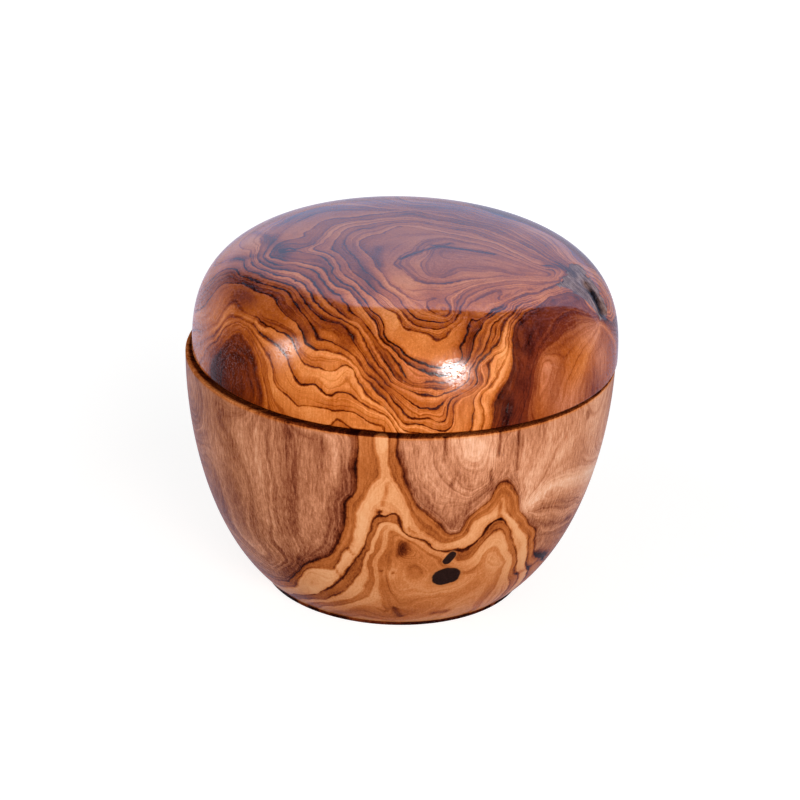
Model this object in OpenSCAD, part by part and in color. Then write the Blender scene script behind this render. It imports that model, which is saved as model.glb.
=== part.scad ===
// Turned olive wood salt keeper: a round bowl and a heavy domed lid that swivels sideways
// on an upright steel pin at the back of the rim, with a pair of magnets at the front.
// Origin: centre of the flat base. +Z up, the front of the keeper faces -Y.

/* [Bowl] */
// Diameter of the rim, the widest part of the bowl
bowl_rim_d = 110; // [96:1:130]
// Height from the table to the top of the rim
bowl_h = 61.7; // [54:0.1:80]
// Diameter of the flat base
foot_d = 67.8; // [50:0.2:76]
// Height of the small upright band that is left round the base
foot_band_h = 0.8; // [0.4:0.1:2]
// How far below the table the belly curve would close if it ran on
belly_run_on = 8.3; // [5:0.1:14]
// Fullness of the belly curve, where 2 is an ellipse
belly_power = 1.88; // [1.7:0.01:2.6]
// Radius on the outer corner of the rim
rim_edge_r = 0.4; // [0.2:0.1:1]

/* [Bowl hollow] */
// Width of the flat land on top of the rim
rim_land_w = 11.5; // [10.5:0.5:14]
// Thickness of the wood under the hollow
floor_t = 10; // [7:0.5:16]
// Fullness of the hollow, where 2 is an ellipse
hollow_power = 2.5; // [2:0.1:3.5]
// Radius on the inner corner of the rim
mouth_edge_r = 1; // [0.4:0.1:1.5]

/* [Lid] */
// How far the lid's side stands in from the outside of the rim
lid_setback = 0.6; // [0:0.1:1.5]
// Height of the dome
lid_h = 31.5; // [27:0.1:40]
// Fullness of the lid's side, where 2 is an ellipse
lid_side_power = 3.3; // [2.8:0.02:4.5]
// Fullness of the lid's crown, where 2 is an ellipse
lid_crown_power = 2.84; // [2.3:0.01:3.2]
// Radius on the lower outer corner of the lid
lid_edge_r = 0.8; // [0.4:0.1:1.5]
// Depth of the shallow hollow turned in the underside
lid_hollow_depth = 15; // [8:0.5:17]
// Angle by which the lid is turned on its pin at rest, in degrees
lid_rest_swing = 1.2; // [-4:0.1:4]

/* [Swivel pin] */
// Distance from the outside of the rim to the axis of the pin
pivot_inset = 6.4; // [5.8:0.1:6.8]
// Diameter of the pin
pin_d = 4; // [3:0.1:4.4]
// Length of the pin that is glued in the bowl
pin_seat_l = 16; // [10:0.5:22]
// Bevel on both ends of the pin
pin_bevel = 0.4; // [0.2:0.1:0.8]
// Length of the brass sleeve in the lid
sleeve_l = 10; // [7:0.5:11]
// Wall of the brass sleeve
sleeve_wall = 0.7; // [0.4:0.1:0.8]
// Thickness of the washer, which sets the seam between lid and bowl
washer_t = 0.5; // [0.4:0.1:1]
// Width of the washer's ring
washer_ring_w = 2; // [1.4:0.1:2.2]
// Free height over the end of the pin
pin_end_play = 0.6; // [0.3:0.1:1]
// Radial running clearance between pin and sleeve
pin_play = 0.05; // [0.02:0.01:0.1]

/* [Magnets] */
// Diameter of each magnet
magnet_d = 6; // [4:0.5:6]
// Thickness of each magnet
magnet_t = 3; // [1.5:0.5:4]
// Depth of each magnet's face below the wood
magnet_sink = 0.1; // [0:0.05:0.3]
// Bevel on the edges of a magnet
magnet_bevel = 0.25; // [0.1:0.05:0.4]
// Radial gap for glue round what is let into the wood
glue_play = 0.03; // [0.02:0.01:0.05]

/* [Hidden] */
$fn = 96;
curve_steps = 44;
corner_steps = 6;
cutter_extra = 0.5;

rim_r = bowl_rim_d / 2;
foot_r = foot_d / 2;
belly_depth = bowl_h + belly_run_on;
band_depth = bowl_h - foot_band_h;
belly_side_power = ln(1 - pow(band_depth / belly_depth, belly_power)) / ln(foot_r / rim_r);
mouth_r = rim_r - rim_land_w;
hollow_depth = bowl_h - floor_t;
lid_r = rim_r - lid_setback;
lid_mouth_r = lid_r - rim_land_w;
seam_z = bowl_h + washer_t;
pivot_y = rim_r - pivot_inset;
sleeve_r = pin_d / 2 + pin_play + sleeve_wall;
washer_hole_r = pin_d / 2 + pin_play;

// Angle at which a turned curve has reached the given share of its full depth
function curve_angle(share, power) = asin(pow(share, power / 2));

// Turned curve: radius falls from r to the axis while depth grows from 0 to depth
function turned_curve(r, depth, side_power, depth_power, from, to) = [
    for (i = [0:curve_steps])
        let (a = from + (to - from) * i / curve_steps)
        [r * pow(cos(a), 2 / side_power), depth * pow(sin(a), 2 / depth_power)]
];

// Points of an arc round a centre, without the last one, where the next curve begins
function arc(centre, r, from, to) = [
    for (i = [0:corner_steps - 1])
        let (a = from + (to - from) * i / corner_steps)
        [centre[0] + r * cos(a), centre[1] + r * sin(a)]
];

// The same points turned upside down, with depth measured down from the height z
function hung(points, z) = [for (p = points) [p[0], z - p[1]]];

function reversed(points) = [for (i = [len(points) - 1:-1:0]) points[i]];

// Outline from the flat base up the belly to the top of the rim
function belly_outline() =
    let (
        from = curve_angle(rim_edge_r / belly_depth, belly_power),
        to = curve_angle(band_depth / belly_depth, belly_power),
        curve = turned_curve(rim_r, belly_depth, belly_side_power, belly_power, from, to),
        corner = [curve[0][0] - rim_edge_r, bowl_h - rim_edge_r]
    )
    concat(
        [[0, 0], [foot_r, 0]],
        reversed(concat(arc(corner, rim_edge_r, 90, 0), hung(curve, bowl_h)))
    );

// Outline of a rounded mouth and the hollow behind it, with depth from the mouth's plane
function hollow_outline(r, depth) =
    let (
        from = curve_angle(mouth_edge_r / depth, hollow_power),
        curve = turned_curve(r, depth, hollow_power, hollow_power, from, 90),
        corner = [curve[0][0] + mouth_edge_r, mouth_edge_r]
    )
    concat(arc(corner, mouth_edge_r, 270, 180), curve);

// Outline from the underside of the lid up the side and over the crown
function dome_outline() =
    let (
        from = curve_angle(lid_edge_r / lid_h, lid_crown_power),
        curve = turned_curve(lid_r, lid_h, lid_side_power, lid_crown_power, from, 90),
        corner = [curve[0][0] - lid_edge_r, lid_edge_r]
    )
    concat(arc(corner, lid_edge_r, -90, 0), curve);

// Round bar on the axis with a bevel at both ends
module bevelled_rod(r, length, bevel) {
    rotate_extrude()
        polygon([
            [0, 0],
            [r - bevel, 0],
            [r, bevel],
            [r, length - bevel],
            [r - bevel, length],
            [0, length]
        ]);
}

// Ring on the axis
module ring(outer_r, inner_r, height) {
    difference() {
        cylinder(h = height, r = outer_r);
        translate([0, 0, -cutter_extra])
            cylinder(h = height + 2 * cutter_extra, r = inner_r);
    }
}

// Puts its children on the axis of the swivel pin
module at_pivot() {
    translate([0, pivot_y, 0]) children();
}

// Puts its children on the axis of the magnets, opposite the pin
module at_catch() {
    translate([0, -pivot_y, 0]) children();
}

// Turns its children about the pin to where the lid rests
module swung() {
    at_pivot()
        rotate([0, 0, lid_rest_swing])
            translate([0, -pivot_y, 0])
                children();
}

module bowl() {
    color("#b5754a")
        difference() {
            rotate_extrude()
                polygon(concat(belly_outline(), hung(hollow_outline(mouth_r, hollow_depth), bowl_h)));
            at_pivot()
                translate([0, 0, bowl_h - pin_seat_l])
                    cylinder(h = pin_seat_l + cutter_extra, r = pin_d / 2 + glue_play);
            at_catch()
                translate([0, 0, bowl_h - magnet_t - magnet_sink])
                    cylinder(h = magnet_t + cutter_extra, r = magnet_d / 2 + glue_play);
        }
}

module hinge_pin() {
    color("#b9bcc0")
        at_pivot()
            translate([0, 0, bowl_h - pin_seat_l])
                bevelled_rod(pin_d / 2, pin_seat_l + washer_t + sleeve_l - pin_end_play, pin_bevel);
}

module spacer_washer() {
    color("#c79a4b")
        at_pivot()
            translate([0, 0, bowl_h])
                ring(washer_hole_r + washer_ring_w, washer_hole_r, washer_t);
}

module bowl_magnet() {
    color("#d4d5d8")
        at_catch()
            translate([0, 0, bowl_h - magnet_t - magnet_sink])
                bevelled_rod(magnet_d / 2, magnet_t, magnet_bevel);
}

module lid() {
    color("#c07a3e")
        swung()
            translate([0, 0, seam_z])
                difference() {
                    rotate_extrude()
                        polygon(concat(
                            reversed(dome_outline()),
                            hollow_outline(lid_mouth_r, lid_hollow_depth)
                        ));
                    at_pivot()
                        translate([0, 0, -cutter_extra])
                            cylinder(h = sleeve_l + cutter_extra, r = sleeve_r + glue_play);
                    at_catch()
                        translate([0, 0, -cutter_extra])
                            cylinder(
                                h = magnet_t + magnet_sink + cutter_extra,
                                r = magnet_d / 2 + glue_play
                            );
                }
}

module pin_sleeve() {
    color("#c79a4b")
        swung()
            at_pivot()
                translate([0, 0, seam_z])
                    ring(sleeve_r, pin_d / 2 + pin_play, sleeve_l);
}

module lid_magnet() {
    color("#d4d5d8")
        swung()
            at_catch()
                translate([0, 0, seam_z + magnet_sink])
                    bevelled_rod(magnet_d / 2, magnet_t, magnet_bevel);
}

bowl();
hinge_pin();
spacer_washer();
bowl_magnet();
lid();
pin_sleeve();
lid_magnet();
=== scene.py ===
"""Looks of a turned olive wood salt keeper: a bowl and a heavy domed lid that swivels on an upright pin.

Sizes and places are millimetres in the frame of the CAD model, and a mesh turns them to metres when it is
made. The wood's figure is one field a body, the ring count: it is pinned to growth lines that were read off
the photograph, runs on through the whole block as solid wood does, and the shader draws the lines.
"""

import logging
import math
from collections.abc import Callable
from dataclasses import dataclass, field
from enum import Enum
from functools import partial

import bpy
import numpy as np
from mathutils import Matrix


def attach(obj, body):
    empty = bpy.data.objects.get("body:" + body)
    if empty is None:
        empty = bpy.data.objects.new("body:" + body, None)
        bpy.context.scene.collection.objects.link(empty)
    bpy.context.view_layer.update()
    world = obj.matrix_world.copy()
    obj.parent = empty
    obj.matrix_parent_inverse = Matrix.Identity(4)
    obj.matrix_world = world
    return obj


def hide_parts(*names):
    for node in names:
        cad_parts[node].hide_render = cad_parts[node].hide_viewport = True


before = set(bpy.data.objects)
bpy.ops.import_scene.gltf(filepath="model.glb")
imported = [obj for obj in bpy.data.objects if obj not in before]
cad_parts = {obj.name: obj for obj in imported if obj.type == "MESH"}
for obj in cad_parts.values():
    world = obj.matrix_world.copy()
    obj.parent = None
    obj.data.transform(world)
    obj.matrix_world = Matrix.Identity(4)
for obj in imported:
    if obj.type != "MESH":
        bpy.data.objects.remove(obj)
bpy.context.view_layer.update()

log = logging.getLogger("keeper")
MM = 0.001
Array = np.ndarray
Mark = tuple[float, float]
FAR = 9.0  # distance, in whatever it is told in, that the shader takes as out of reach
SEEN = 30.0  # a bark pocket is no wider than this to each side of its middle, in millimetres


class Body(Enum):
    """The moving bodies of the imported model."""

    BOWL = "bowl_body"
    LID = "lid_body"


class Slot(Enum):
    """The record's material slots of the bowl's and the lid's wood; the script doesn't use them."""

    BOWL_WOOD = "bowl_wood"
    LID_WOOD = "lid_wood"


def hex_linear(code: str) -> tuple[float, float, float, float]:
    """Turns an sRGB hex colour to linear light, by the sRGB curve of each channel.

    Args:
        code: six hex digits, with or without the leading sign.

    Returns:
        Red, green, blue and an alpha of one.
    """
    digits = code.lstrip("#")
    channels = [int(digits[i : i + 2], 16) / 255 for i in (0, 2, 4)]
    linear = [c / 12.92 if c <= 0.04045 else ((c + 0.055) / 1.055) ** 2.4 for c in channels]
    return (linear[0], linear[1], linear[2], 1.0)


def add_node(tree: bpy.types.NodeTree, kind: str, *inputs, **settings) -> bpy.types.Node:
    """Adds a shader node, sets its properties, and fills or links its inputs.

    An input is given a value, an output, or a node, which stands for its first output.

    Args:
        tree: the node tree of a material or of the world.
        kind: the node's class name after its first word, ShaderNode.
        inputs: what the first inputs are given, in order, or one dictionary by input name or number. A
            MapRange takes its value, the two ends it comes from and the two ends it goes to.
        settings: properties of the node.

    Returns:
        The new node.
    """
    node = tree.nodes.new("ShaderNode" + kind)
    for name, value in settings.items():
        setattr(node, name, value)
    given = inputs[0] if inputs and isinstance(inputs[0], dict) else dict(enumerate(inputs))
    for name, value in given.items():
        feed = value.outputs[0] if isinstance(value, bpy.types.Node) else value
        if isinstance(feed, bpy.types.NodeSocket):
            tree.links.new(feed, node.inputs[name])
        else:
            node.inputs[name].default_value = feed
    return node


def new_tree(owner: bpy.types.Material | bpy.types.World) -> Callable[..., bpy.types.Node]:
    """Empties the owner's node tree and gives the function that adds nodes to it."""
    owner.use_nodes = True
    owner.node_tree.nodes.clear()
    return partial(add_node, owner.node_tree)


def fill_ramp(ramp: bpy.types.ColorRamp, stops: list[tuple[float, tuple]]) -> None:
    """Gives a colour ramp its stops.

    Args:
        ramp: the ramp, with its two first stops.
        stops: position and colour of each stop, in order.
    """
    while len(ramp.elements) < len(stops):
        ramp.elements.new(1.0)
    for element, (place, _) in zip(ramp.elements, stops):
        element.position = place
    for element, (_, colour) in zip(ramp.elements, stops):
        element.color = colour


def ripple(points: Array, wavelength: float, seed: int, waves: int = 28) -> tuple[Array, Array]:
    """Smooth noise: the sum of plane cosine waves in random directions, scaled to a spread of about one.

    Args:
        points: places in millimetres, one row each.
        wavelength: mean length of the waves in millimetres.
        seed: seed of the random directions and phases.
        waves: number of waves.

    Returns:
        One value a point, and its slope.
    """
    rng = np.random.default_rng(seed)
    direction = rng.normal(size=(waves, 3))
    direction /= np.linalg.norm(direction, axis=1, keepdims=True)
    turns = direction * (2 * np.pi / (wavelength * rng.uniform(0.6, 1.6, waves)))[:, None]
    angle = points @ turns.T + rng.uniform(0, 2 * np.pi, waves)
    scale = 1 / math.sqrt(waves / 2)
    return scale * np.cos(angle).sum(axis=1), -scale * np.sin(angle) @ turns


@dataclass(frozen=True)
class PhotoCamera:
    """The camera of the photograph, as fitted to the outline, the seam and the base."""

    distance: float = 700.0
    aim_height: float = 45.0
    elevation: float = 23.671
    roll: float = 2.087
    focal_px: float = 2706.8
    centre_px: tuple[float, float] = (398.57, 408.97)
    image_px: int = 800
    sensor: float = 36.0

    def axes(self) -> tuple[Array, Array, Array, Array]:
        """Gives the place of the camera and its right, up and forward directions."""
        tilt, turn = math.radians(self.elevation), math.radians(self.roll)
        forward = np.array([0, math.cos(tilt), -math.sin(tilt)])
        level, up = np.array([1.0, 0, 0]), np.array([0, math.sin(tilt), math.cos(tilt)])
        right = level * math.cos(turn) + up * math.sin(turn)
        return (
            np.array([0, 0, self.aim_height]) - self.distance * forward, right,
            up * math.cos(turn) - level * math.sin(turn), forward,
        )

    def land(self, marks: Array, solid: "TurnedWood") -> Array:
        """Carries marks of the photograph along their lines of sight to a solid.

        Each line of sight is walked in even steps to the first one inside the solid, and the step is
        then halved until the surface is met. A mark that misses the solid is dropped.

        Args:
            marks: pixel places, one row each.
            solid: the turned solid that they lie on.

        Returns:
            The places on the surface in millimetres.
        """
        eye, right, up, forward = self.axes()
        across = (marks - np.array(self.centre_px)) / self.focal_px
        sight = forward + across[:, :1] * right - across[:, 1:] * up
        sight /= np.linalg.norm(sight, axis=1, keepdims=True)
        steps = np.linspace(self.distance - 90, self.distance + 90, 181)
        inside = np.stack([solid.outside_level(eye + sight * s) <= 0 for s in steps])
        hit = inside.any(axis=0)
        far = steps[inside.argmax(axis=0)]
        near = far - (steps[1] - steps[0])
        for _ in range(26):
            middle = (near + far) / 2
            within = solid.outside_level(eye + sight * middle[:, None]) <= 0
            far, near = np.where(within, middle, far), np.where(within, near, middle)
        return (eye + sight * far[:, None])[hit]

    def place(self) -> bpy.types.Object:
        """Makes the Blender camera and makes it the scene's camera."""
        eye, right, up, forward = self.axes()
        data = bpy.data.cameras.new("photo_camera")
        data.sensor_width = self.sensor
        data.lens = self.focal_px * self.sensor / self.image_px
        data.shift_x = 0.5 - self.centre_px[0] / self.image_px
        data.shift_y = self.centre_px[1] / self.image_px - 0.5
        data.clip_start, data.clip_end = 0.01, 50
        camera = bpy.data.objects.new("photo_camera", data)
        matrix = np.eye(4)
        matrix[:3, 0], matrix[:3, 1], matrix[:3, 2], matrix[:3, 3] = right, up, -forward, eye * MM
        camera.matrix_world = Matrix(matrix)
        bpy.context.scene.collection.objects.link(camera)
        bpy.context.scene.camera = camera
        return camera


def resample(path: Array, count: int) -> Array:
    """Spaces points evenly along a path by its length.

    Args:
        path: points of the path, close together.
        count: number of points wanted.

    Returns:
        The evenly spaced points, with both ends kept.
    """
    run = np.concatenate([[0], np.cumsum(np.linalg.norm(np.diff(path, axis=0), axis=1))])
    places = np.linspace(0, run[-1], count)
    return np.stack([np.interp(places, run, path[:, axis]) for axis in range(path.shape[1])], axis=1)


def smooth_path(marks: Array, step: float) -> Array:
    """Curve through marks: on each stretch the cubic whose end slopes point from mark to next-but-one mark.

    Args:
        marks: the marks, one row each.
        step: spacing of the points wanted.

    Returns:
        Points along the curve.
    """
    if len(marks) < 3:
        length = float(np.linalg.norm(marks[-1] - marks[0]))
        return resample(marks, max(2, round(length / step) + 1)) if len(marks) > 1 else marks
    slope = np.gradient(marks, axis=0)
    t = np.linspace(0, 1, 9)[None, :-1, None]
    a, b, sa, sb = marks[:-1, None], marks[1:, None], slope[:-1, None], slope[1:, None]
    curve = (
        (2 * t**3 - 3 * t**2 + 1) * a + (t**3 - 2 * t**2 + t) * sa
        + (3 * t**2 - 2 * t**3) * b + (t**3 - t**2) * sb
    )
    points = np.concatenate([curve.reshape(-1, 2), marks[-1:]])
    length = np.linalg.norm(np.diff(points, axis=0), axis=1).sum()
    return resample(points, max(3, round(length / step) + 1))


@dataclass
class PinnedField:
    """A smooth field through given values: a sum of bell kernels, one on each pin.

    The kernel falls with distance d as (1 + a) times exp(-a), where a is the square root of 3 times d over
    the reach, and the weights solve the linear system that puts each value on its pin.
    """

    pins: Array
    values: Array
    reach: float
    slack: float = 0.001
    weights: Array = field(init=False)

    def __post_init__(self) -> None:
        """Solves for the weights."""
        a = self.spread(self.pins)
        self.weights = np.linalg.solve(
            (1 + a) * np.exp(-a) + self.slack * np.eye(len(self.pins)), self.values
        )

    def spread(self, points: Array) -> Array:
        """Distance between each point and each pin, times the square root of 3 over the reach."""
        square = (points**2).sum(1)[:, None] + (self.pins**2).sum(1) - 2 * points @ self.pins.T
        return np.sqrt(3 * np.maximum(square, 0)) / self.reach

    def at(self, points: Array) -> tuple[Array, Array]:
        """Value and slope of the field at each point, worked out in blocks to save memory."""
        values, slopes = [], []
        for block in np.array_split(points, max(1, len(points) // 6000)):
            a = self.spread(block)
            pull = np.exp(-a) * self.weights
            values.append((pull * (1 + a)).sum(axis=1))
            slopes.append((pull @ self.pins - pull.sum(axis=1)[:, None] * block) * 3 / self.reach**2)
        return np.concatenate(values), np.concatenate(slopes)


@dataclass(frozen=True)
class GrowthLine:
    """A dark line between two growth rings, read off the photograph as marks in pixels.

    ring is the count of rings from the eye of the figure, and depth how dark the line is, from 0 to 1.5.
    """

    ring: float
    depth: float
    marks: tuple[Mark, ...]


@dataclass(frozen=True)
class Stain:
    """A soft change of tone along a stroke: marks in pixels, half width in mm and change at its middle."""

    half_width: float
    change: float
    marks: tuple[Mark, ...]


@dataclass(frozen=True)
class Knot:
    """A small sound knot: the marks of its long axis in pixels and its half width in mm."""

    half_width: float
    marks: tuple[Mark, ...]


def stroke_distance(points: Array, path: Array) -> Array:
    """Distance from each point to the nearest place on a path.

    On each stretch the nearest place is the end of the plumb line, held between the two ends.

    Args:
        points: places in millimetres, one row each.
        path: corners of the path, one row each.

    Returns:
        The distances in millimetres.
    """
    if len(path) == 1:
        return np.linalg.norm(points - path[0], axis=1)
    best = np.full(len(points), np.inf)
    for start, end in zip(path[:-1], path[1:]):
        way = end - start
        share = np.clip((points - start) @ way / max(float(way @ way), 1e-9), 0, 1)
        best = np.minimum(best, np.linalg.norm(points - start - share[:, None] * way, axis=1))
    return best


@dataclass
class GrowthFigure:
    """The ring count through a block of wood: distance from its heart, warped, then pinned to the lines."""

    heart: tuple[float, float, float]
    rate: float
    start: float
    warp: float
    warp_length: float
    seed: int
    lines: tuple[GrowthLine, ...]
    stains: tuple[Stain, ...] = ()
    knots: tuple[Knot, ...] = ()
    bark: tuple[Mark, ...] = ()
    quiet: tuple[Stain, ...] = ()
    reach: float = 22.0
    mark_step: float = 6.0
    stroke_step: float = 8.0
    edge_step: float = 2.5
    pitch_limits: tuple[float, float] = (0.04, 3.0)
    plain_depth: float = 0.6
    most_depth: float = 1.6
    depth_reach: float = 9.0
    depth_slack: float = 0.15
    ring_field: PinnedField | None = None
    depth_field: PinnedField | None = None

    def free_growth(self, points: Array) -> tuple[Array, Array]:
        """Ring count where nothing pins it, and its slope: rate times distance from the heart, plus waves."""
        away = points - np.array(self.heart)
        length = np.linalg.norm(away, axis=1)
        wave, slope = ripple(points, self.warp_length, self.seed)
        return (
            self.start + self.rate * length + self.warp * wave,
            self.rate * away / length[:, None] + self.warp * slope,
        )

    def pin(self, camera: PhotoCamera, solid: "TurnedWood") -> None:
        """Pins the ring count and the darkness of the lines to the marks, carried onto the solid."""
        places, rings, depths = [], [], []
        for line in self.lines:
            spots = camera.land(smooth_path(np.array(line.marks, float), self.mark_step), solid)
            places.append(spots)
            rings.append(np.full(len(spots), float(line.ring)))
            depths.append(np.full(len(spots), line.depth))
        pins = np.concatenate(places)
        self.ring_field = PinnedField(pins, np.concatenate(rings) - self.free_growth(pins)[0], self.reach)
        self.depth_field = PinnedField(
            pins, np.concatenate(depths) - self.plain_depth, self.depth_reach, self.depth_slack
        )

    def attributes(
        self, camera: PhotoCamera, solid: "TurnedWood", points: Array, normals: Array
    ) -> dict[str, Array]:
        """Works out what the shader reads at each vertex.

        Args:
            camera: the photograph's camera, which carries the marks.
            solid: the solid that they land on.
            points: vertex places in millimetres.
            normals: vertex normals.

        Returns:
            By name, the ring count, how many rings pass in a millimetre along the surface, the lines' depth,
            the stains' change of tone less the piece's painted shade and light, the distance from a knot in
            its half widths and from the bark in mm, how quiet the figure is, and where the lacquer is
            missing.
        """
        free, free_slope = self.free_growth(points)
        pinned, pinned_slope = self.ring_field.at(points)
        slope = free_slope + pinned_slope
        slope -= (slope * normals).sum(1, keepdims=True) * normals
        stain, quiet = np.zeros(len(points)), np.zeros(len(points))
        for total, strokes in ((stain, self.stains), (quiet, self.quiet)):
            for stroke in strokes:
                path = camera.land(smooth_path(np.array(stroke.marks, float), self.stroke_step), solid)
                total += stroke.change * np.exp(-((stroke_distance(points, path) / stroke.half_width) ** 2))
        knot = np.full(len(points), FAR)
        for spot in self.knots:
            path = camera.land(np.array(spot.marks, float), solid)
            knot = np.minimum(knot, stroke_distance(points, path) / spot.half_width)
        return {
            "ring": free + pinned,
            "rings_per_mm": np.clip(np.linalg.norm(slope, axis=1), *self.pitch_limits),
            "line_depth": np.clip(self.plain_depth + self.depth_field.at(points)[0], 0, self.most_depth),
            # The stain attribute holds the real stains less the piece's painted shade and painted light.
            "stain": stain - solid.painted_shade(points), "knot": knot,
            "bark": self.bark_distance(camera, solid, points), "quiet": np.clip(quiet, 0, 1),
            "dull": solid.dull_part(points),
        }

    def bark_distance(self, camera: PhotoCamera, solid: "TurnedWood", points: Array) -> Array:
        """Distance from the edge of the bark pocket, negative inside it and FAR a long way off.

        The edge is carried onto the solid, and which side a point is on is told in the plane that fits the
        edge best, by the sum of the angles at which the stretches of the edge are seen.
        """
        if not self.bark:
            return np.full(len(points), FAR)
        edge = camera.land(smooth_path(np.array(self.bark + self.bark[:1], float), self.edge_step), solid)
        centre = edge[:-1].mean(axis=0)
        across, down, _ = np.linalg.svd(edge[:-1] - centre)[2]
        near = np.linalg.norm(points - centre, axis=1) < SEEN
        flat = (points[near] - centre) @ np.stack([across, down], axis=1)
        rim = (edge - centre) @ np.stack([across, down], axis=1)
        ways = rim[None] - flat[:, None]
        a, b = ways[:, :-1], ways[:, 1:]
        turn = np.arctan2(a[..., 0] * b[..., 1] - a[..., 1] * b[..., 0], (a * b).sum(-1)).sum(axis=1)
        sign = np.where(np.abs(turn) > math.pi, -1, 1)
        distance = np.full(len(points), FAR)
        distance[near] = np.minimum(stroke_distance(points[near], edge), FAR) * sign
        return distance


@dataclass(frozen=True)
class Pocket:
    """A blind round hole in the flat land of a rim: where it is, its radius and how deep it goes."""

    place: tuple[float, float]
    radius: float
    depth: float


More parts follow.
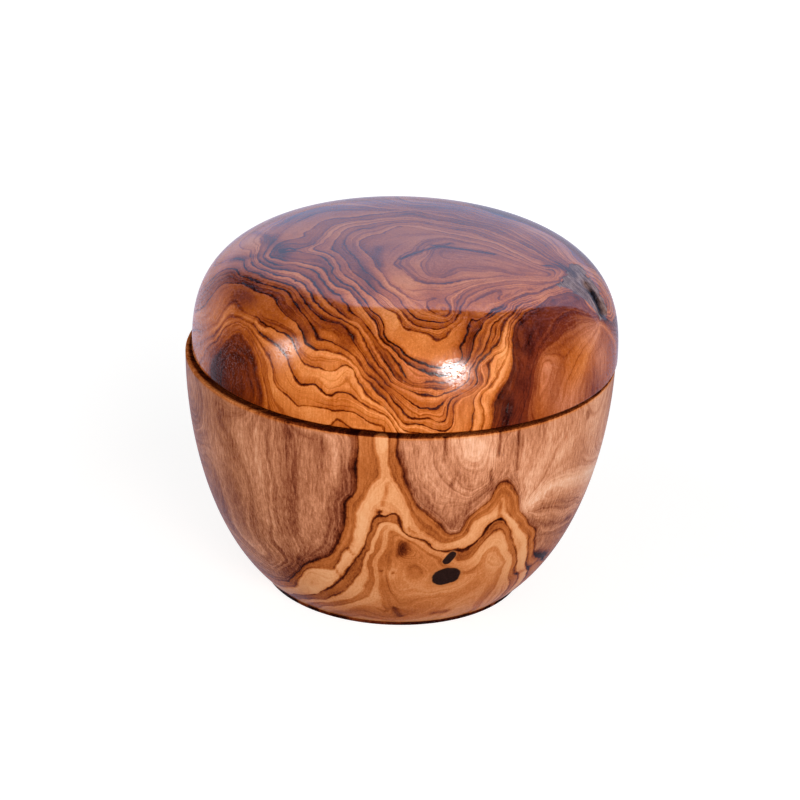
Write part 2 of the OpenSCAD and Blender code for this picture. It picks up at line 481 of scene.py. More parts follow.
@dataclass
class TurnedWood:
    """A piece turned on a lathe: a profile carried round its axis, with round pockets in its flat land."""

    columns: int = 448
    pitch: float = 0.62
    land_rows: int = 11
    pocket_span: int = 8
    pocket_rings: int = 4

    def outside_level(self, points: Array) -> Array:
        """Negative inside the outer form, positive outside."""
        raise NotImplementedError

    def profile(self) -> tuple[Array, slice]:
        """Rows of the profile without the two axis points, and which of them are the land."""
        raise NotImplementedError

    def poles(self) -> tuple[float, float]:
        """Heights of the first and the last axis point."""
        raise NotImplementedError

    def pockets(self) -> tuple[Pocket, ...]:
        """The blind holes in the land."""
        raise NotImplementedError

    def settle(self, points: Array) -> Array:
        """Moves points from the axis of the lathe to where the piece rests."""
        return points

    def painted_shade(self, points: Array) -> Array:
        """Painted shade: how much darker the wood is painted at each point, lighter where below zero."""
        return np.zeros(len(points))

    def dull_part(self, points: Array) -> Array:
        """One where the wood is oiled and not lacquered, zero elsewhere."""
        return np.zeros(len(points))

    @staticmethod
    def turned_curve(
        radius: float, depth: float, side: float, power: float, start: float, end: float
    ) -> Array:
        """Lathe curve: (r / radius) to the side power plus (d / depth) to the depth power is one.

        Args:
            radius: radius at no depth.
            depth: depth on the axis.
            side: power of the radius term.
            power: power of the depth term.
            start: depth at which the curve starts.
            end: depth at which it ends.

        Returns:
            Rows of radius and depth.
        """
        angle = np.linspace(
            math.asin((start / depth) ** (power / 2)), math.asin(min(1.0, (end / depth) ** (power / 2))),
            1500,
        )
        return np.stack([radius * np.cos(angle) ** (2 / side), depth * np.sin(angle) ** (2 / power)], axis=1)

    @staticmethod
    def arc(centre: tuple[float, float], radius: float, start: float, end: float, count: int = 7) -> Array:
        """Rows on an arc of a circle, from one angle in degrees to another."""
        angle = np.radians(np.linspace(start, end, count))
        return np.array(centre) + radius * np.stack([np.cos(angle), np.sin(angle)], axis=1)

    def along(self, path: Array, coarser: float = 1.0) -> Array:
        """Even points on a path, one pitch apart, or more on what is seldom seen."""
        length = np.linalg.norm(np.diff(path, axis=0), axis=1).sum()
        return resample(path, max(2, round(length / self.pitch / coarser) + 1))

    def sunk(
        self, grid: Array, ids: Array, rows: slice, pocket: Pocket, first: int
    ) -> tuple[Array, Array, Array]:
        """Opens a round pocket in the land.

        A window of the grid round the pocket is taken out. Its edge is joined to the round hole by rings
        that go over evenly from the one to the other, and the hole goes down to a flat floor.

        Args:
            grid: the grid's vertices, by row and column.
            ids: their numbers.
            rows: the rows of the land.
            pocket: the pocket.
            first: number of the first new vertex.

        Returns:
            New vertices, new faces and the grid's faces that are taken out, as row and column pairs.
        """
        low, high = rows.start, rows.stop - 1
        centre = np.array([*pocket.place, grid[low, 0, 2]])
        middle = round(math.atan2(pocket.place[1], pocket.place[0]) / (2 * math.pi) * self.columns)
        span = (np.arange(-self.pocket_span, self.pocket_span + 1) + middle) % self.columns
        side = np.arange(low, high + 1)
        row_ids = np.concatenate(
            [np.full(len(span) - 1, low), side[:-1], np.full(len(span) - 1, high), side[:0:-1]]
        )
        column_ids = np.concatenate(
            [span[:-1], np.full(len(side) - 1, span[-1]), span[:0:-1], np.full(len(side) - 1, span[0])]
        )
        edge, edge_ids = grid[row_ids, column_ids], ids[row_ids, column_ids]
        away = edge - centre
        hole = centre + pocket.radius * away / np.linalg.norm(away, axis=1, keepdims=True)
        shares = np.linspace(0, 1, self.pocket_rings + 1)[1:, None, None]
        down = np.array([0, 0, -pocket.depth])
        rings = np.concatenate([edge + shares * (hole - edge), (hole + down)[None]])
        count, around = len(edge), np.arange(len(edge))
        numbers = np.concatenate(
            [edge_ids[None], first + np.arange(len(rings) * count).reshape(len(rings), count)]
        )
        onward = (around + 1) % count
        walls = np.stack(
            [numbers[:-1], numbers[:-1][:, onward], numbers[1:][:, onward], numbers[1:]], axis=-1
        )
        hub = first + len(rings) * count
        fan = np.stack([numbers[-1], numbers[-1][onward], np.full(count, hub), np.full(count, hub)], axis=-1)
        taken = np.stack(np.meshgrid(side[:-1], span[:-1], indexing="ij"), axis=-1).reshape(-1, 2)
        vertices = np.concatenate([rings.reshape(-1, 3), (centre + down)[None]])
        return vertices, np.concatenate([walls.reshape(-1, 4), fan]), taken

    def surface(self) -> tuple[Array, Array]:
        """Carries the profile round the axis and opens the pockets.

        Each row of the profile becomes a circle of points, neighbouring circles are joined by quads, and
        the two ends close on an axis point each.

        Returns:
            Vertices in millimetres at rest, and faces of four numbers, the last two equal in a triangle.
        """
        rows, land = self.profile()
        angle = np.arange(self.columns) * 2 * math.pi / self.columns
        grid = np.stack(
            [
                rows[:, :1] * np.cos(angle), rows[:, :1] * np.sin(angle),
                np.repeat(rows[:, 1:], self.columns, axis=1),
            ],
            axis=-1,
        )
        ids = np.arange(grid.size // 3).reshape(grid.shape[:2])
        onward = np.roll(ids, -1, axis=1)
        quads = np.stack([ids[:-1], onward[:-1], onward[1:], ids[1:]], axis=-1)
        keep = np.ones(quads.shape[:2], bool)
        vertices, faces = [grid.reshape(-1, 3)], []
        total = grid.size // 3
        for pocket in self.pockets():
            extra, walls, taken = self.sunk(grid, ids, land, pocket, total)
            keep[taken[:, 0], taken[:, 1]] = False
            vertices.append(extra)
            faces.append(walls)
            total += len(extra)
        first, last = self.poles()
        vertices.append(np.array([[0, 0, first], [0, 0, last]]))
        start_pole, end_pole = np.full(self.columns, total), np.full(self.columns, total + 1)
        start_fan = np.stack([onward[0], ids[0], start_pole, start_pole], -1)
        end_fan = np.stack([ids[-1], onward[-1], end_pole, end_pole], -1)
        faces = np.concatenate([quads[keep].reshape(-1, 4), *faces, start_fan, end_fan])
        points = np.concatenate(vertices)
        used, renumbered = np.unique(faces, return_inverse=True)
        return self.settle(points[used]), renumbered.reshape(faces.shape)


def make_mesh(name: str, points: Array, faces: Array, sharp_angle: float = 40.0) -> bpy.types.Object:
    """Makes a mesh object from vertices in millimetres, smooth except at sharp edges.

    Args:
        name: name of the piece.
        points: vertices in millimetres.
        faces: rows of four vertex numbers, the last two equal in a triangle.
        sharp_angle: edges that turn by more degrees stay sharp.

    Returns:
        The object, at the origin.
    """
    mesh = bpy.data.meshes.new(name)
    triangle = faces[:, 2] == faces[:, 3]
    mesh.from_pydata((points * MM).tolist(), [], faces[~triangle].tolist() + faces[triangle, :3].tolist())
    mesh.shade_smooth()
    mesh.set_sharp_from_angle(angle=math.radians(sharp_angle))
    piece = bpy.data.objects.new(name, mesh)
    bpy.context.scene.collection.objects.link(piece)
    return piece


def vertex_arrays(piece: bpy.types.Object) -> tuple[Array, Array]:
    """Reads a piece's vertices in millimetres, and their normals."""
    count = len(piece.data.vertices)
    points, normals = np.empty(count * 3), np.empty(count * 3)
    piece.data.vertices.foreach_get("co", points)
    piece.data.vertices.foreach_get("normal", normals)
    return points.reshape(-1, 3) / MM, normals.reshape(-1, 3)


def write_attributes(piece: bpy.types.Object, values: dict[str, Array]) -> None:
    """Stores one number a vertex under each name, for the shader to read."""
    for name, numbers in values.items():
        layer = piece.data.attributes.new(name, "FLOAT", "POINT")
        layer.data.foreach_set("value", numbers.astype(np.float32))


@dataclass(frozen=True)
class GrowthBand:
    """Wood between two neighbouring lines: its tone behind the first and before the second, 0 black, 1 pale.

    firm is 1 where the first line is crisp and holds where rings crowd, and 0 where it is soft and fades.
    """

    early: float
    late: float
    firm: float


def bands(*tones: tuple[float, float, float]) -> tuple[GrowthBand, ...]:
    """Names the tones of the bands from the eye outwards."""
    return tuple(GrowthBand(early, late, firm) for early, late, firm in tones)


@dataclass(frozen=True)
class OliveWood:
    """Olive wood, turned, oiled and lacquered: dark thin growth lines with a crisp edge over warm orange
    and pale bands, fine upright pores, and a clear coat that mirrors the room when seen at a slant."""

    name: str
    tones: tuple[tuple[float, str], ...]
    fill: tuple[GrowthBand, ...]
    side_fill: tuple[GrowthBand, ...]
    side_from: float
    side_to: float
    side_edge: tuple[float, float]
    axis_place: tuple[float, float]
    streaks_below: float = -99.0
    streak_tones: tuple[tuple[float, str], ...] = ()
    streak_strength: float = 0.4
    vein_strength: float = 0.14
    vein_pitch: float = 3.1
    soft_edge: float = 0.12
    wander: float = 1.1
    wander_length: float = 9.0
    jitter: float = 0.3
    jitter_length: float = 1.9
    line_width: float = 0.24
    line_darkening: float = 0.36
    shade_width: float = 2.2
    shade_darkening: float = 0.15
    hair_darkening: float = 0.14
    cloud_strength: float = 0.34
    pore_width: float = 0.3
    pore_length: float = 5.0
    pore_strength: float = 0.12
    grit_strength: float = 0.12
    lacquer_ior: float = 1.5
    wood_roughness: float = 0.45
    coat_weight: float = 1.0
    coat_roughness: float = 0.03
    film_depth: float = 0.01
    speck_height: float = 3.0
    brushed_below: tuple[float, float] = (80.0, 88.0)
    brush_height: float = 1.0
    quiet_pink: float = 0.0
    fibre_way: tuple[float, float, float] = (0.591, -0.491, -0.64)
    swell_scale: float = 0.17
    cloud_scale: float = 0.05
    hair_stretch: float = 0.03
    hair_pitch: float = 5.0
    vein_stretch: float = 0.02
    grit_scale: float = 2.4
    broad_stretch: tuple[float, float, float] = (1.2, 1.2, 0.02)
    brushed_stretch: tuple[float, float, float] = (1.1, 1.1, 2.8)
    bark_tremble: float = 3.0
    furrow_scale: float = 1.5
    furrow_height: float = 60.0
    bark_coat: float = 0.8
    turning_scale: float = 2.2
    worn_coat: float = 0.55
    crust_tones: tuple[tuple[float, str], ...] = (
        (0.27, "#1c161c"), (0.4, "#624a46"), (0.49, "#967670"), (0.6, "#ccb0a6"),
    )
    # Painted highlight round a knot's rim.
    knot_rim_highlight: str = "#b8713f"
    knot_black: str = "#0c0708"
    knot_brown: str = "#38241f"

    def band_ramp(
        self, add: Callable[..., bpy.types.Node], ring: bpy.types.Node, first: float,
        fill: tuple[GrowthBand, ...],
    ) -> bpy.types.Node:
        """Splits a colour ramp over the ring count: red holds the bands' tone and green the lines' firmness.

        Args:
            add: adds a node to the material.
            ring: the ring count.
            first: ring count at which the bands begin.
            fill: the bands.

        Returns:
            The node whose outputs are the tone and the firmness.
        """
        count = len(fill)
        share = add("MapRange", ring, float(first), float(first + count))
        ramp = add("ValToRGB", share)
        stops = []
        for index, band in enumerate(fill):
            following = fill[min(index + 1, count - 1)].firm
            stops.append(
                ((index + self.soft_edge * (1 - band.firm) + 0.02) / count, (band.early, band.firm, 0, 1))
            )
            stops.append(
                ((index + 0.98 - self.soft_edge * (1 - following)) / count, (band.late, following, 0, 1))
            )
        fill_ramp(ramp.color_ramp, stops)
        return add("SeparateColor", ramp)

    def material(self) -> bpy.types.Material:
        """Builds the node material."""
        material = bpy.data.materials.new(self.name)
        add = new_tree(material)

        place = add("VectorMath", {0: add("TexCoord").outputs["Object"], "Scale": 1 / MM}, operation="SCALE")
        names = ("ring", "rings_per_mm", "line_depth", "stain", "knot", "bark", "quiet", "dull")
        ring_in, per_mm, depth, stain, knot, bark, quiet, dull = (
            add("Attribute", attribute_name=name).outputs["Fac"] for name in names
        )

        # The lines sway by a millimetre over a centimetre, and tremble by a third of that over two
        sway = add("TexNoise", {"Vector": place, "Scale": 1 / self.wander_length, "Detail": 1.5})
        sway = add("MapRange", sway, 0.2, 0.8, -self.wander, self.wander)
        tremble = add("TexNoise", {"Vector": place, "Scale": 1 / self.jitter_length, "Detail": 2.0})
        tremble = add("MapRange", tremble, 0.25, 0.75, -self.jitter, self.jitter)
        swell = add("TexNoise", {"Vector": place, "Scale": self.swell_scale, "Detail": 3.0, "Roughness": 0.6})
        rough_growth = add("MapRange", swell, 0.35, 0.6, 0.25)
        shift = add("Math", tremble, rough_growth, sway, operation="MULTIPLY_ADD")
        ring = add("Math", shift, per_mm, ring_in, operation="MULTIPLY_ADD")

        # Bands between the lines, from three ramps over the ring count
        half = len(self.fill) // 2
        inner = self.band_ramp(add, ring, 0, self.fill[: half + 1])
        outer = self.band_ramp(add, ring, half, self.fill[half:])
        past = add("Math", ring, half + 0.5, operation="GREATER_THAN")
        fill, firm = (
            add("Mix", {0: past, 2: inner.outputs[part], 3: outer.outputs[part]}, data_type="FLOAT")
            for part in (0, 1)
        )
        side = self.band_ramp(add, ring, self.side_from, self.side_fill)
        to_side = add(
            "MapRange", add("SeparateXYZ", place).outputs[0], self.side_edge[0], self.side_edge[1],
            interpolation_type="SMOOTHSTEP",
        )
        for limit, test in ((self.side_from, "GREATER_THAN"), (self.side_to, "LESS_THAN")):
            within = add("Math", ring, float(limit), operation=test)
            to_side = add("Math", to_side, within, operation="MULTIPLY")
        fill = add("Mix", {0: to_side, 2: fill, 3: side}, data_type="FLOAT")

        # Soft clouds, veins and hair lines that run along the rings, change slowly and come and go
        streaky = add("MapRange", ring, self.streaks_below - 0.4, self.streaks_below, 1.0, 0.0)
        cloud = add(
            "TexNoise",
            {
                "Vector": place, "W": add("Math", ring, 1.7, operation="MULTIPLY"), "Scale": self.cloud_scale,
                "Detail": 2.0,
            },
            noise_dimensions="4D",
        )
        tone = add(
            "Math", add("Math", cloud, 0.5, operation="SUBTRACT"), 2 * self.cloud_strength, fill,
            operation="MULTIPLY_ADD",
        )
        hair = add(
            "TexNoise",
            {
                "Vector": add("VectorMath", {0: place, "Scale": self.hair_stretch}, operation="SCALE"),
                "W": add("Math", ring, self.hair_pitch, operation="MULTIPLY"), "Scale": 1.0, "Detail": 2.0,
                "Roughness": 0.6,
            },
            noise_dimensions="4D",
        )
        hair = add("MapRange", hair, 0.53, 0.64, 0, -self.hair_darkening, interpolation_type="SMOOTHSTEP")
        lined = add("MapRange", quiet, 0, 1, 1.0, 0.35)
        faint = add("MapRange", streaky, 0, 1, 1.0, 0.5)
        lined = add("Math", lined, faint, operation="MULTIPLY")
        hairy = add("MapRange", quiet, 0, 1, 1.0, 0.0)
        tone = add("Math", hair, hairy, tone, operation="MULTIPLY_ADD")
        veins = add(
            "TexNoise",
            {
                "Vector": add("VectorMath", {0: place, "Scale": self.vein_stretch}, operation="SCALE"),
                "W": add("Math", ring, self.vein_pitch, 7.0, operation="MULTIPLY_ADD"), "Scale": 1.0,
                "Detail": 3.0, "Roughness": 0.65,
            },
            noise_dimensions="4D",
        )
        veins = add("Math", veins, 0.5, operation="SUBTRACT")
        vein_amount = add(
            "Math", add("Math", quiet, streaky, operation="MAXIMUM"), 2.4 * self.vein_strength,
            2 * self.vein_strength, operation="MULTIPLY_ADD",
        )
        tone = add("Math", veins, vein_amount, tone, operation="MULTIPLY_ADD")

        # Dark lines: how far the nearest whole ring is in millimetres, against a width that comes and goes
        whole = add("Math", ring, operation="ROUND")
        off = add("Math", ring, whole, operation="SUBTRACT")
        off = add("Math", off, per_mm, operation="DIVIDE")
        distance = add("Math", off, operation="ABSOLUTE")
        width = add("MapRange", swell, 0.35, 0.68, 0.6 * self.line_width, 1.8 * self.line_width)
        spread = add("MapRange", quiet, 0, 1, 1.0, 3.5)
        spread = add("Math", streaky, 1.6, spread, operation="MULTIPLY_ADD")
        width = add("Math", width, spread, operation="MULTIPLY")
        core = add(
            "MapRange", add("Math", distance, width, operation="DIVIDE"), 0.3, 1.3, self.line_darkening, 0.0,
            interpolation_type="SMOOTHSTEP",
        )
        shade = add("MapRange", off, -self.shade_width, 0.0, 0.0, self.shade_darkening)
        before = add("Math", off, 0.0, operation="LESS_THAN")
        dark = add("Math", shade, before, core, operation="MULTIPLY_ADD")
        crowding = add("MapRange", add("Math", 1.0, per_mm, operation="DIVIDE"), 0.9, 1.9)
        firm = add("Math", firm, crowding, operation="MAXIMUM")
        fade = add("MapRange", swell, 0.34, 0.5, 0.45)
        for weight in (depth, firm, fade, lined):
            dark = add("Math", dark, weight, operation="MULTIPLY")
        tone = add("Math", tone, dark, operation="SUBTRACT")

        # Pores: short upright dashes, since the block's grain runs along the lathe's axis, and a fine grit
        stretched = add(
            "VectorMath", place, (0.5 / self.pore_width, 0.5 / self.pore_width, 1 / self.pore_length),
            operation="MULTIPLY",
        )
        pores = add("TexNoise", {"Vector": stretched, "Scale": 1.0, "Detail": 3.0, "Roughness": 0.65})
        grit = add("TexNoise", {"Vector": place, "Scale": self.grit_scale, "Detail": 2.0, "Roughness": 0.7})
        broad = add(
            "TexNoise",
            {
                "Vector": add("VectorMath", place, self.broad_stretch, operation="MULTIPLY"), "Scale": 1.0,
                "Detail": 4.0, "Roughness": 0.62,
            },
        )
        streak_amount = add("Math", streaky, self.streak_strength, 0.06, operation="MULTIPLY_ADD")
        pore_amount = add(
            "Math", streaky, 2 * self.pore_strength, 2 * self.pore_strength, operation="MULTIPLY_ADD"
        )
        for noise, amount in ((pores, pore_amount), (grit, 2 * self.grit_strength), (broad, streak_amount)):
            centred = add("Math", noise, 0.5, operation="SUBTRACT")
            tone = add("Math", centred, amount, tone, operation="MULTIPLY_ADD")

        # Stains, and the painted shade and light carried with them, broken up a little by the slow noise
        broken = add("MapRange", cloud, 0.3, 0.7, 0.7, 1.3)
        tone = add("Math", stain, broken, tone, operation="MULTIPLY_ADD")

        colour = add("ValToRGB", tone)
        fill_ramp(colour.color_ramp, [(stop, hex_linear(code)) for stop, code in self.tones])
        pinker = add("Math", quiet, to_side, operation="MULTIPLY")
        pinker = add("Math", pinker, self.quiet_pink, operation="MULTIPLY")
        pinker = add("Math", pinker, streaky, operation="MAXIMUM")
        lacquered = add("Math", 1.0, dull, operation="SUBTRACT")
        pinker = add("Math", pinker, lacquered, operation="MULTIPLY")
        flat_cut = add("ValToRGB", tone)
        fill_ramp(
            flat_cut.color_ramp, [(stop, hex_linear(code)) for stop, code in self.streak_tones or self.tones]
        )
        colour = add("Mix", {0: pinker, 6: colour, 7: flat_cut}, data_type="RGBA").outputs[2]

        # Knots: near black in a thin pale rim, a painted highlight of their lower edge; their edge a little
        # uneven
        uneven = add("Math", tremble, 0.25, knot, operation="MULTIPLY_ADD")
        rim = add("MapRange", uneven, 1.5, 1.05, 0, 0.6, interpolation_type="SMOOTHSTEP")
        colour = add("Mix", {0: rim, 6: colour, 7: hex_linear(self.knot_rim_highlight)}, data_type="RGBA").outputs[2]
        heart = add("MapRange", uneven, 1.08, 0.94, interpolation_type="SMOOTHSTEP")
        heartwood = add(
            "Mix", {0: grit, 6: hex_linear(self.knot_black), 7: hex_linear(self.knot_brown)}, data_type="RGBA"
        ).outputs[2]
        colour = add("Mix", {0: heart, 6: colour, 7: heartwood}, data_type="RGBA").outputs[2]

        # Bark pocket: grey brown, furrowed and dull
        run = add("VectorMath", place, self.fibre_way, operation="DOT_PRODUCT")
        along = add("VectorMath", {0: self.fibre_way, "Scale": run.outputs["Value"]}, operation="SCALE")
        fibres = add("VectorMath", along, (-0.86, -0.86, -0.86), place, operation="MULTIPLY_ADD")
        furrows = add(
            "TexNoise", {"Vector": fibres, "Scale": self.furrow_scale, "Detail": 4.0, "Roughness": 0.75}
        )
        in_bark = add(
            "MapRange", add("Math", tremble, self.bark_tremble, bark, operation="MULTIPLY_ADD"), 0.15, -0.25,
            interpolation_type="SMOOTHSTEP",
        )
        lumps = add("TexNoise", {"Vector": place, "Scale": 0.5, "Detail": 5.0, "Roughness": 0.7})
        crumble = add("Mix", {0: 0.45, 2: furrows, 3: lumps}, data_type="FLOAT")
        # The stains, painted shade of the slot among them, darken the crust too.
        pit = add("Math", stain, 0.5, crumble, operation="MULTIPLY_ADD")
        crust = add("ValToRGB", pit)
        fill_ramp(crust.color_ramp, [(stop, hex_linear(code)) for stop, code in self.crust_tones])
        colour = add("Mix", {0: in_bark, 6: colour, 7: crust}, data_type="RGBA").outputs[2]

        # Lacquer: fine turning marks about the lathe's axis, and specks that make its highlights grainy
        radial = add("VectorMath", place, (*self.axis_place, 0.0), operation="SUBTRACT")
        flat = add("VectorMath", radial, (1, 1, 0), operation="MULTIPLY")
        radius = add("VectorMath", flat, operation="LENGTH").outputs["Value"]
        height = add("SeparateXYZ", place).outputs[2]
        lathe = add("CombineXYZ", radius, 0.0, height)
        marks = add(
            "TexNoise", {"Vector": lathe, "Scale": self.turning_scale, "Detail": 3.0, "Roughness": 0.7}
        )
        brushed = add("VectorMath", place, self.brushed_stretch, operation="MULTIPLY")
        brushed = add("TexNoise", {"Vector": brushed, "Scale": 1.0, "Detail": 1.5, "Roughness": 0.6})
        low = add("MapRange", height, self.brushed_below[0], self.brushed_below[1], 1.0, 0.0)
        brushing = add("Math", low, self.brush_height, 0.8, operation="MULTIPLY_ADD")
        marks = add("Mix", {0: low, 2: marks, 3: brushed}, data_type="FLOAT")
        specks = add("MapRange", grit, 0.54, 0.66, 0, self.speck_height, interpolation_type="SMOOTHSTEP")
        relief = add("Math", marks, brushing, specks, operation="MULTIPLY_ADD")
        film = add("Bump", {"Strength": 1.0, "Distance": self.film_depth * MM, "Height": relief})
        raised = add("Math", furrows, in_bark, operation="MULTIPLY")
        wood_relief = add("Math", raised, self.furrow_height, pores, operation="MULTIPLY_ADD")
        under = add("Bump", {"Strength": 1.0, "Distance": 0.03 * MM, "Height": wood_relief})
        coat = add("MapRange", in_bark, 0, 1, self.coat_weight, self.bark_coat * self.coat_weight)
        bare = add("MapRange", brushed, 0.5, 0.62, 0, self.worn_coat)
        bare = add("Math", bare, low, operation="MULTIPLY")
        pits = add("MapRange", grit, 0.6, 0.72, 0, 0.6)
        bare = add("Math", bare, pits, operation="MAXIMUM")
        bare = add("Math", 1.0, bare, operation="SUBTRACT")
        for weight in (bare, lacquered):
            coat = add("Math", coat, weight, operation="MULTIPLY")

        shader = add(
            "BsdfPrincipled",
            {
                "Base Color": colour, "Roughness": self.wood_roughness, "Specular IOR Level": 0.0,
                "Normal": under, "Coat Weight": coat, "Coat Roughness": self.coat_roughness,
                "Coat IOR": self.lacquer_ior, "Coat Normal": film,
            },
        )
        add("OutputMaterial", {"Surface": shader})
        return material


@dataclass(frozen=True)
class PlainMetal:
    """A bright turned or ground metal: fine scratches round its upright axis blur what it mirrors."""

    name: str
    colour: str
    tarnish: str
    roughness: float
    scratch: float
    axis_place: tuple[float, float]

    def material(self) -> bpy.types.Material:
        """Builds the node material: the metal's colour with a little tarnish, and its scratches as bump."""
        material = bpy.data.materials.new(self.name)
        add = new_tree(material)
        place = add("VectorMath", {0: add("TexCoord").outputs["Object"], "Scale": 1 / MM}, operation="SCALE")
        radial = add("VectorMath", place, (*self.axis_place, 0.0), operation="SUBTRACT")
        flat = add("VectorMath", radial, (1, 1, 0), operation="MULTIPLY")
        radius = add("VectorMath", flat, operation="LENGTH").outputs["Value"]
        height = add("SeparateXYZ", place).outputs[2]
        lathe = add("CombineXYZ", {0: radius, 2: height})
        scratches = add("TexNoise", {"Vector": lathe, "Scale": 9.0, "Detail": 3.0, "Roughness": 0.7})
        stain = add("TexNoise", {"Vector": place, "Scale": 0.5, "Detail": 4.0, "Roughness": 0.6})
        amount = add("MapRange", stain, 0.45, 0.75, 0, 0.6)
        colour = add(
            "Mix", {0: amount, 6: hex_linear(self.colour), 7: hex_linear(self.tarnish)}, data_type="RGBA"
        ).outputs[2]
        rough = add("MapRange", scratches, 0, 1, self.roughness * 0.7, self.roughness * 1.4)
        bump = add("Bump", {"Strength": 1.0, "Distance": self.scratch * MM, "Height": scratches})
        shader = add(
            "BsdfPrincipled", {"Base Color": colour, "Metallic": 1.0, "Roughness": rough, "Normal": bump}
        )
        add("OutputMaterial", {"Surface": shader})
        return material


BOWL_LINES = (
    GrowthLine(2, 0.05, ((212, 420), (222, 470), (240, 530))),
    GrowthLine(3, 0.05, ((262, 430), (268, 480), (272, 540))),
    GrowthLine(4, 0.1, ((318, 440), (318, 490), (308, 540))),
    GrowthLine(5, 0.75, ((358, 437), (360, 450), (356, 464), (355, 492), (347, 500), (343, 515), (343, 528),
        (339, 541), (333, 555), (320, 560), (309, 564), (297, 572), (290, 581))),
    GrowthLine(4.3, 0.3, ((407, 445), (410, 468), (420, 492), (436, 507), (456, 510), (474, 501),
        (488, 489))),
    GrowthLine(3.6, 0.3, ((425, 440), (427, 461), (438, 481), (454, 494), (472, 496), (486, 485), (495, 470),
        (499, 440))),
    GrowthLine(2.8, 0.3, ((446, 440), (450, 457), (462, 472), (476, 478), (486, 470), (491, 455),
        (493, 440))),
    GrowthLine(2.2, 0.2, ((462, 440), (466, 453), (476, 460), (483, 452), (484, 440))),
    GrowthLine(4.2, 0.3, ((509, 440), (508, 460))),
    GrowthLine(4, 0.3, ((520, 430), (519, 450), (518, 475), (521, 500))),
    GrowthLine(5, 0.75, ((396, 438), (397, 455), (400, 470), (404, 476), (409, 492), (417, 506), (427, 513),
        (437, 521), (446, 531), (453, 537), (460, 532), (467, 519), (476, 510), (485, 504), (491, 496),
        (495, 487), (502, 481), (509, 482), (514, 490), (519, 500), (521, 511), (527, 522), (533, 530),
        (534, 542), (532, 552))),
    GrowthLine(3.5, 0.0, ((549, 430), (545, 450), (534, 480), (524, 502))),
    GrowthLine(3, 0.25, ((577, 432), (556, 460), (540, 485), (526, 503))),
    GrowthLine(2.4, 0.0, ((606, 452), (590, 470), (562, 478), (541, 492), (528, 505))),
    GrowthLine(2.1, 0.0, ((605, 462), (575, 485), (545, 498))),
    GrowthLine(3, 0.2, ((592, 495), (570, 503), (547, 505), (530, 511))),
    GrowthLine(4, 0.6, ((583, 500), (570, 517), (550, 525), (532, 521))),
    GrowthLine(4.6, 0.2, ((536, 536), (556, 535), (570, 527))),
    GrowthLine(6, 0.0, ((376, 437), (380, 455), (383, 476), (374, 480), (368, 490), (365, 500), (356, 511),
        (354, 524), (354, 545))),
    GrowthLine(6.5, 0.0, ((381, 437), (384, 457), (387, 476), (389, 495))),
    GrowthLine(6.5, 0.0, ((372, 500), (362, 520), (358, 540), (345, 560))),
    GrowthLine(5.5, 0.3, ((367, 440), (369, 460), (366, 478), (356, 498))),
    GrowthLine(5.5, 0.3, ((391, 440), (394, 462), (400, 482), (411, 503))),
    GrowthLine(6.5, 0.0, ((398, 500), (412, 526), (432, 541), (452, 546))),
    GrowthLine(5.6, 0.2, ((452, 538), (462, 531), (470, 518), (482, 507), (492, 500), (499, 490),
        (506, 488))),
    GrowthLine(5.7, 0.2, ((512, 500), (516, 512), (523, 524), (529, 534), (531, 548))),
    GrowthLine(6, 0.0, ((385, 455), (388, 471), (391, 479), (399, 484), (406, 500), (412, 514), (420, 528),
        (432, 535), (447, 541), (459, 541), (466, 534), (470, 524), (480, 516), (490, 510), (497, 503))),
    GrowthLine(6, 0.0, ((505, 508), (512, 520), (521, 530), (526, 541), (527, 556))),
    GrowthLine(6, 0.0, ((294, 588), (299, 576), (311, 570), (325, 568), (333, 571))),
    GrowthLine(7, 1.4, ((308, 595), (320, 593), (332, 587), (342, 578), (350, 567), (357, 555), (365, 542),
        (370, 529), (374, 517), (379, 509), (383, 512), (385, 519), (388, 517), (392, 513), (397, 516),
        (402, 524), (408, 534), (419, 538), (432, 545), (441, 548), (455, 550), (467, 550), (475, 544),
        (480, 536), (487, 526), (494, 521), (499, 519), (503, 517), (506, 524), (512, 533), (516, 542),
        (516, 554), (516, 567), (519, 574))),
    GrowthLine(8, 0.0, ((325, 600), (345, 590), (357, 576), (367, 557), (375, 537), (381, 524))),
    GrowthLine(8, 0.0, ((456, 560), (470, 558), (480, 548), (489, 537), (497, 530), (505, 533), (508, 546),
        (510, 562), (510, 580))),
    GrowthLine(9, 0.4, ((382, 528), (377, 540), (370, 553), (365, 564), (366, 578), (363, 590), (356, 597),
        (340, 601), (322, 602))),
    GrowthLine(10, 0.0, ((386, 529), (382, 543), (375, 556), (371, 566), (373, 580), (369, 593), (360, 600),
        (342, 605), (322, 606))),
    GrowthLine(11, 0.35, ((392, 530), (389, 545), (380, 562), (377, 572), (378, 584), (382, 597),
        (386, 611))),
    GrowthLine(11, 0.0, ((402, 533), (418, 545), (430, 551), (440, 556))),
    GrowthLine(11, 0.3, ((452, 566), (468, 570), (480, 560), (488, 550), (498, 547), (503, 556), (502, 570),
        (497, 582), (488, 596), (482, 602))),
    GrowthLine(12.5, 0.0, ((396, 552), (402, 568), (400, 588))),
    GrowthLine(12.6, 0.0, ((415, 562), (432, 572), (425, 588), (450, 584), (468, 576))),
    GrowthLine(12, 0.0, ((398, 602), (410, 597), (430, 596), (450, 592), (466, 585), (478, 574), (488, 566),
        (493, 572), (488, 584), (478, 600), (470, 610))),
)

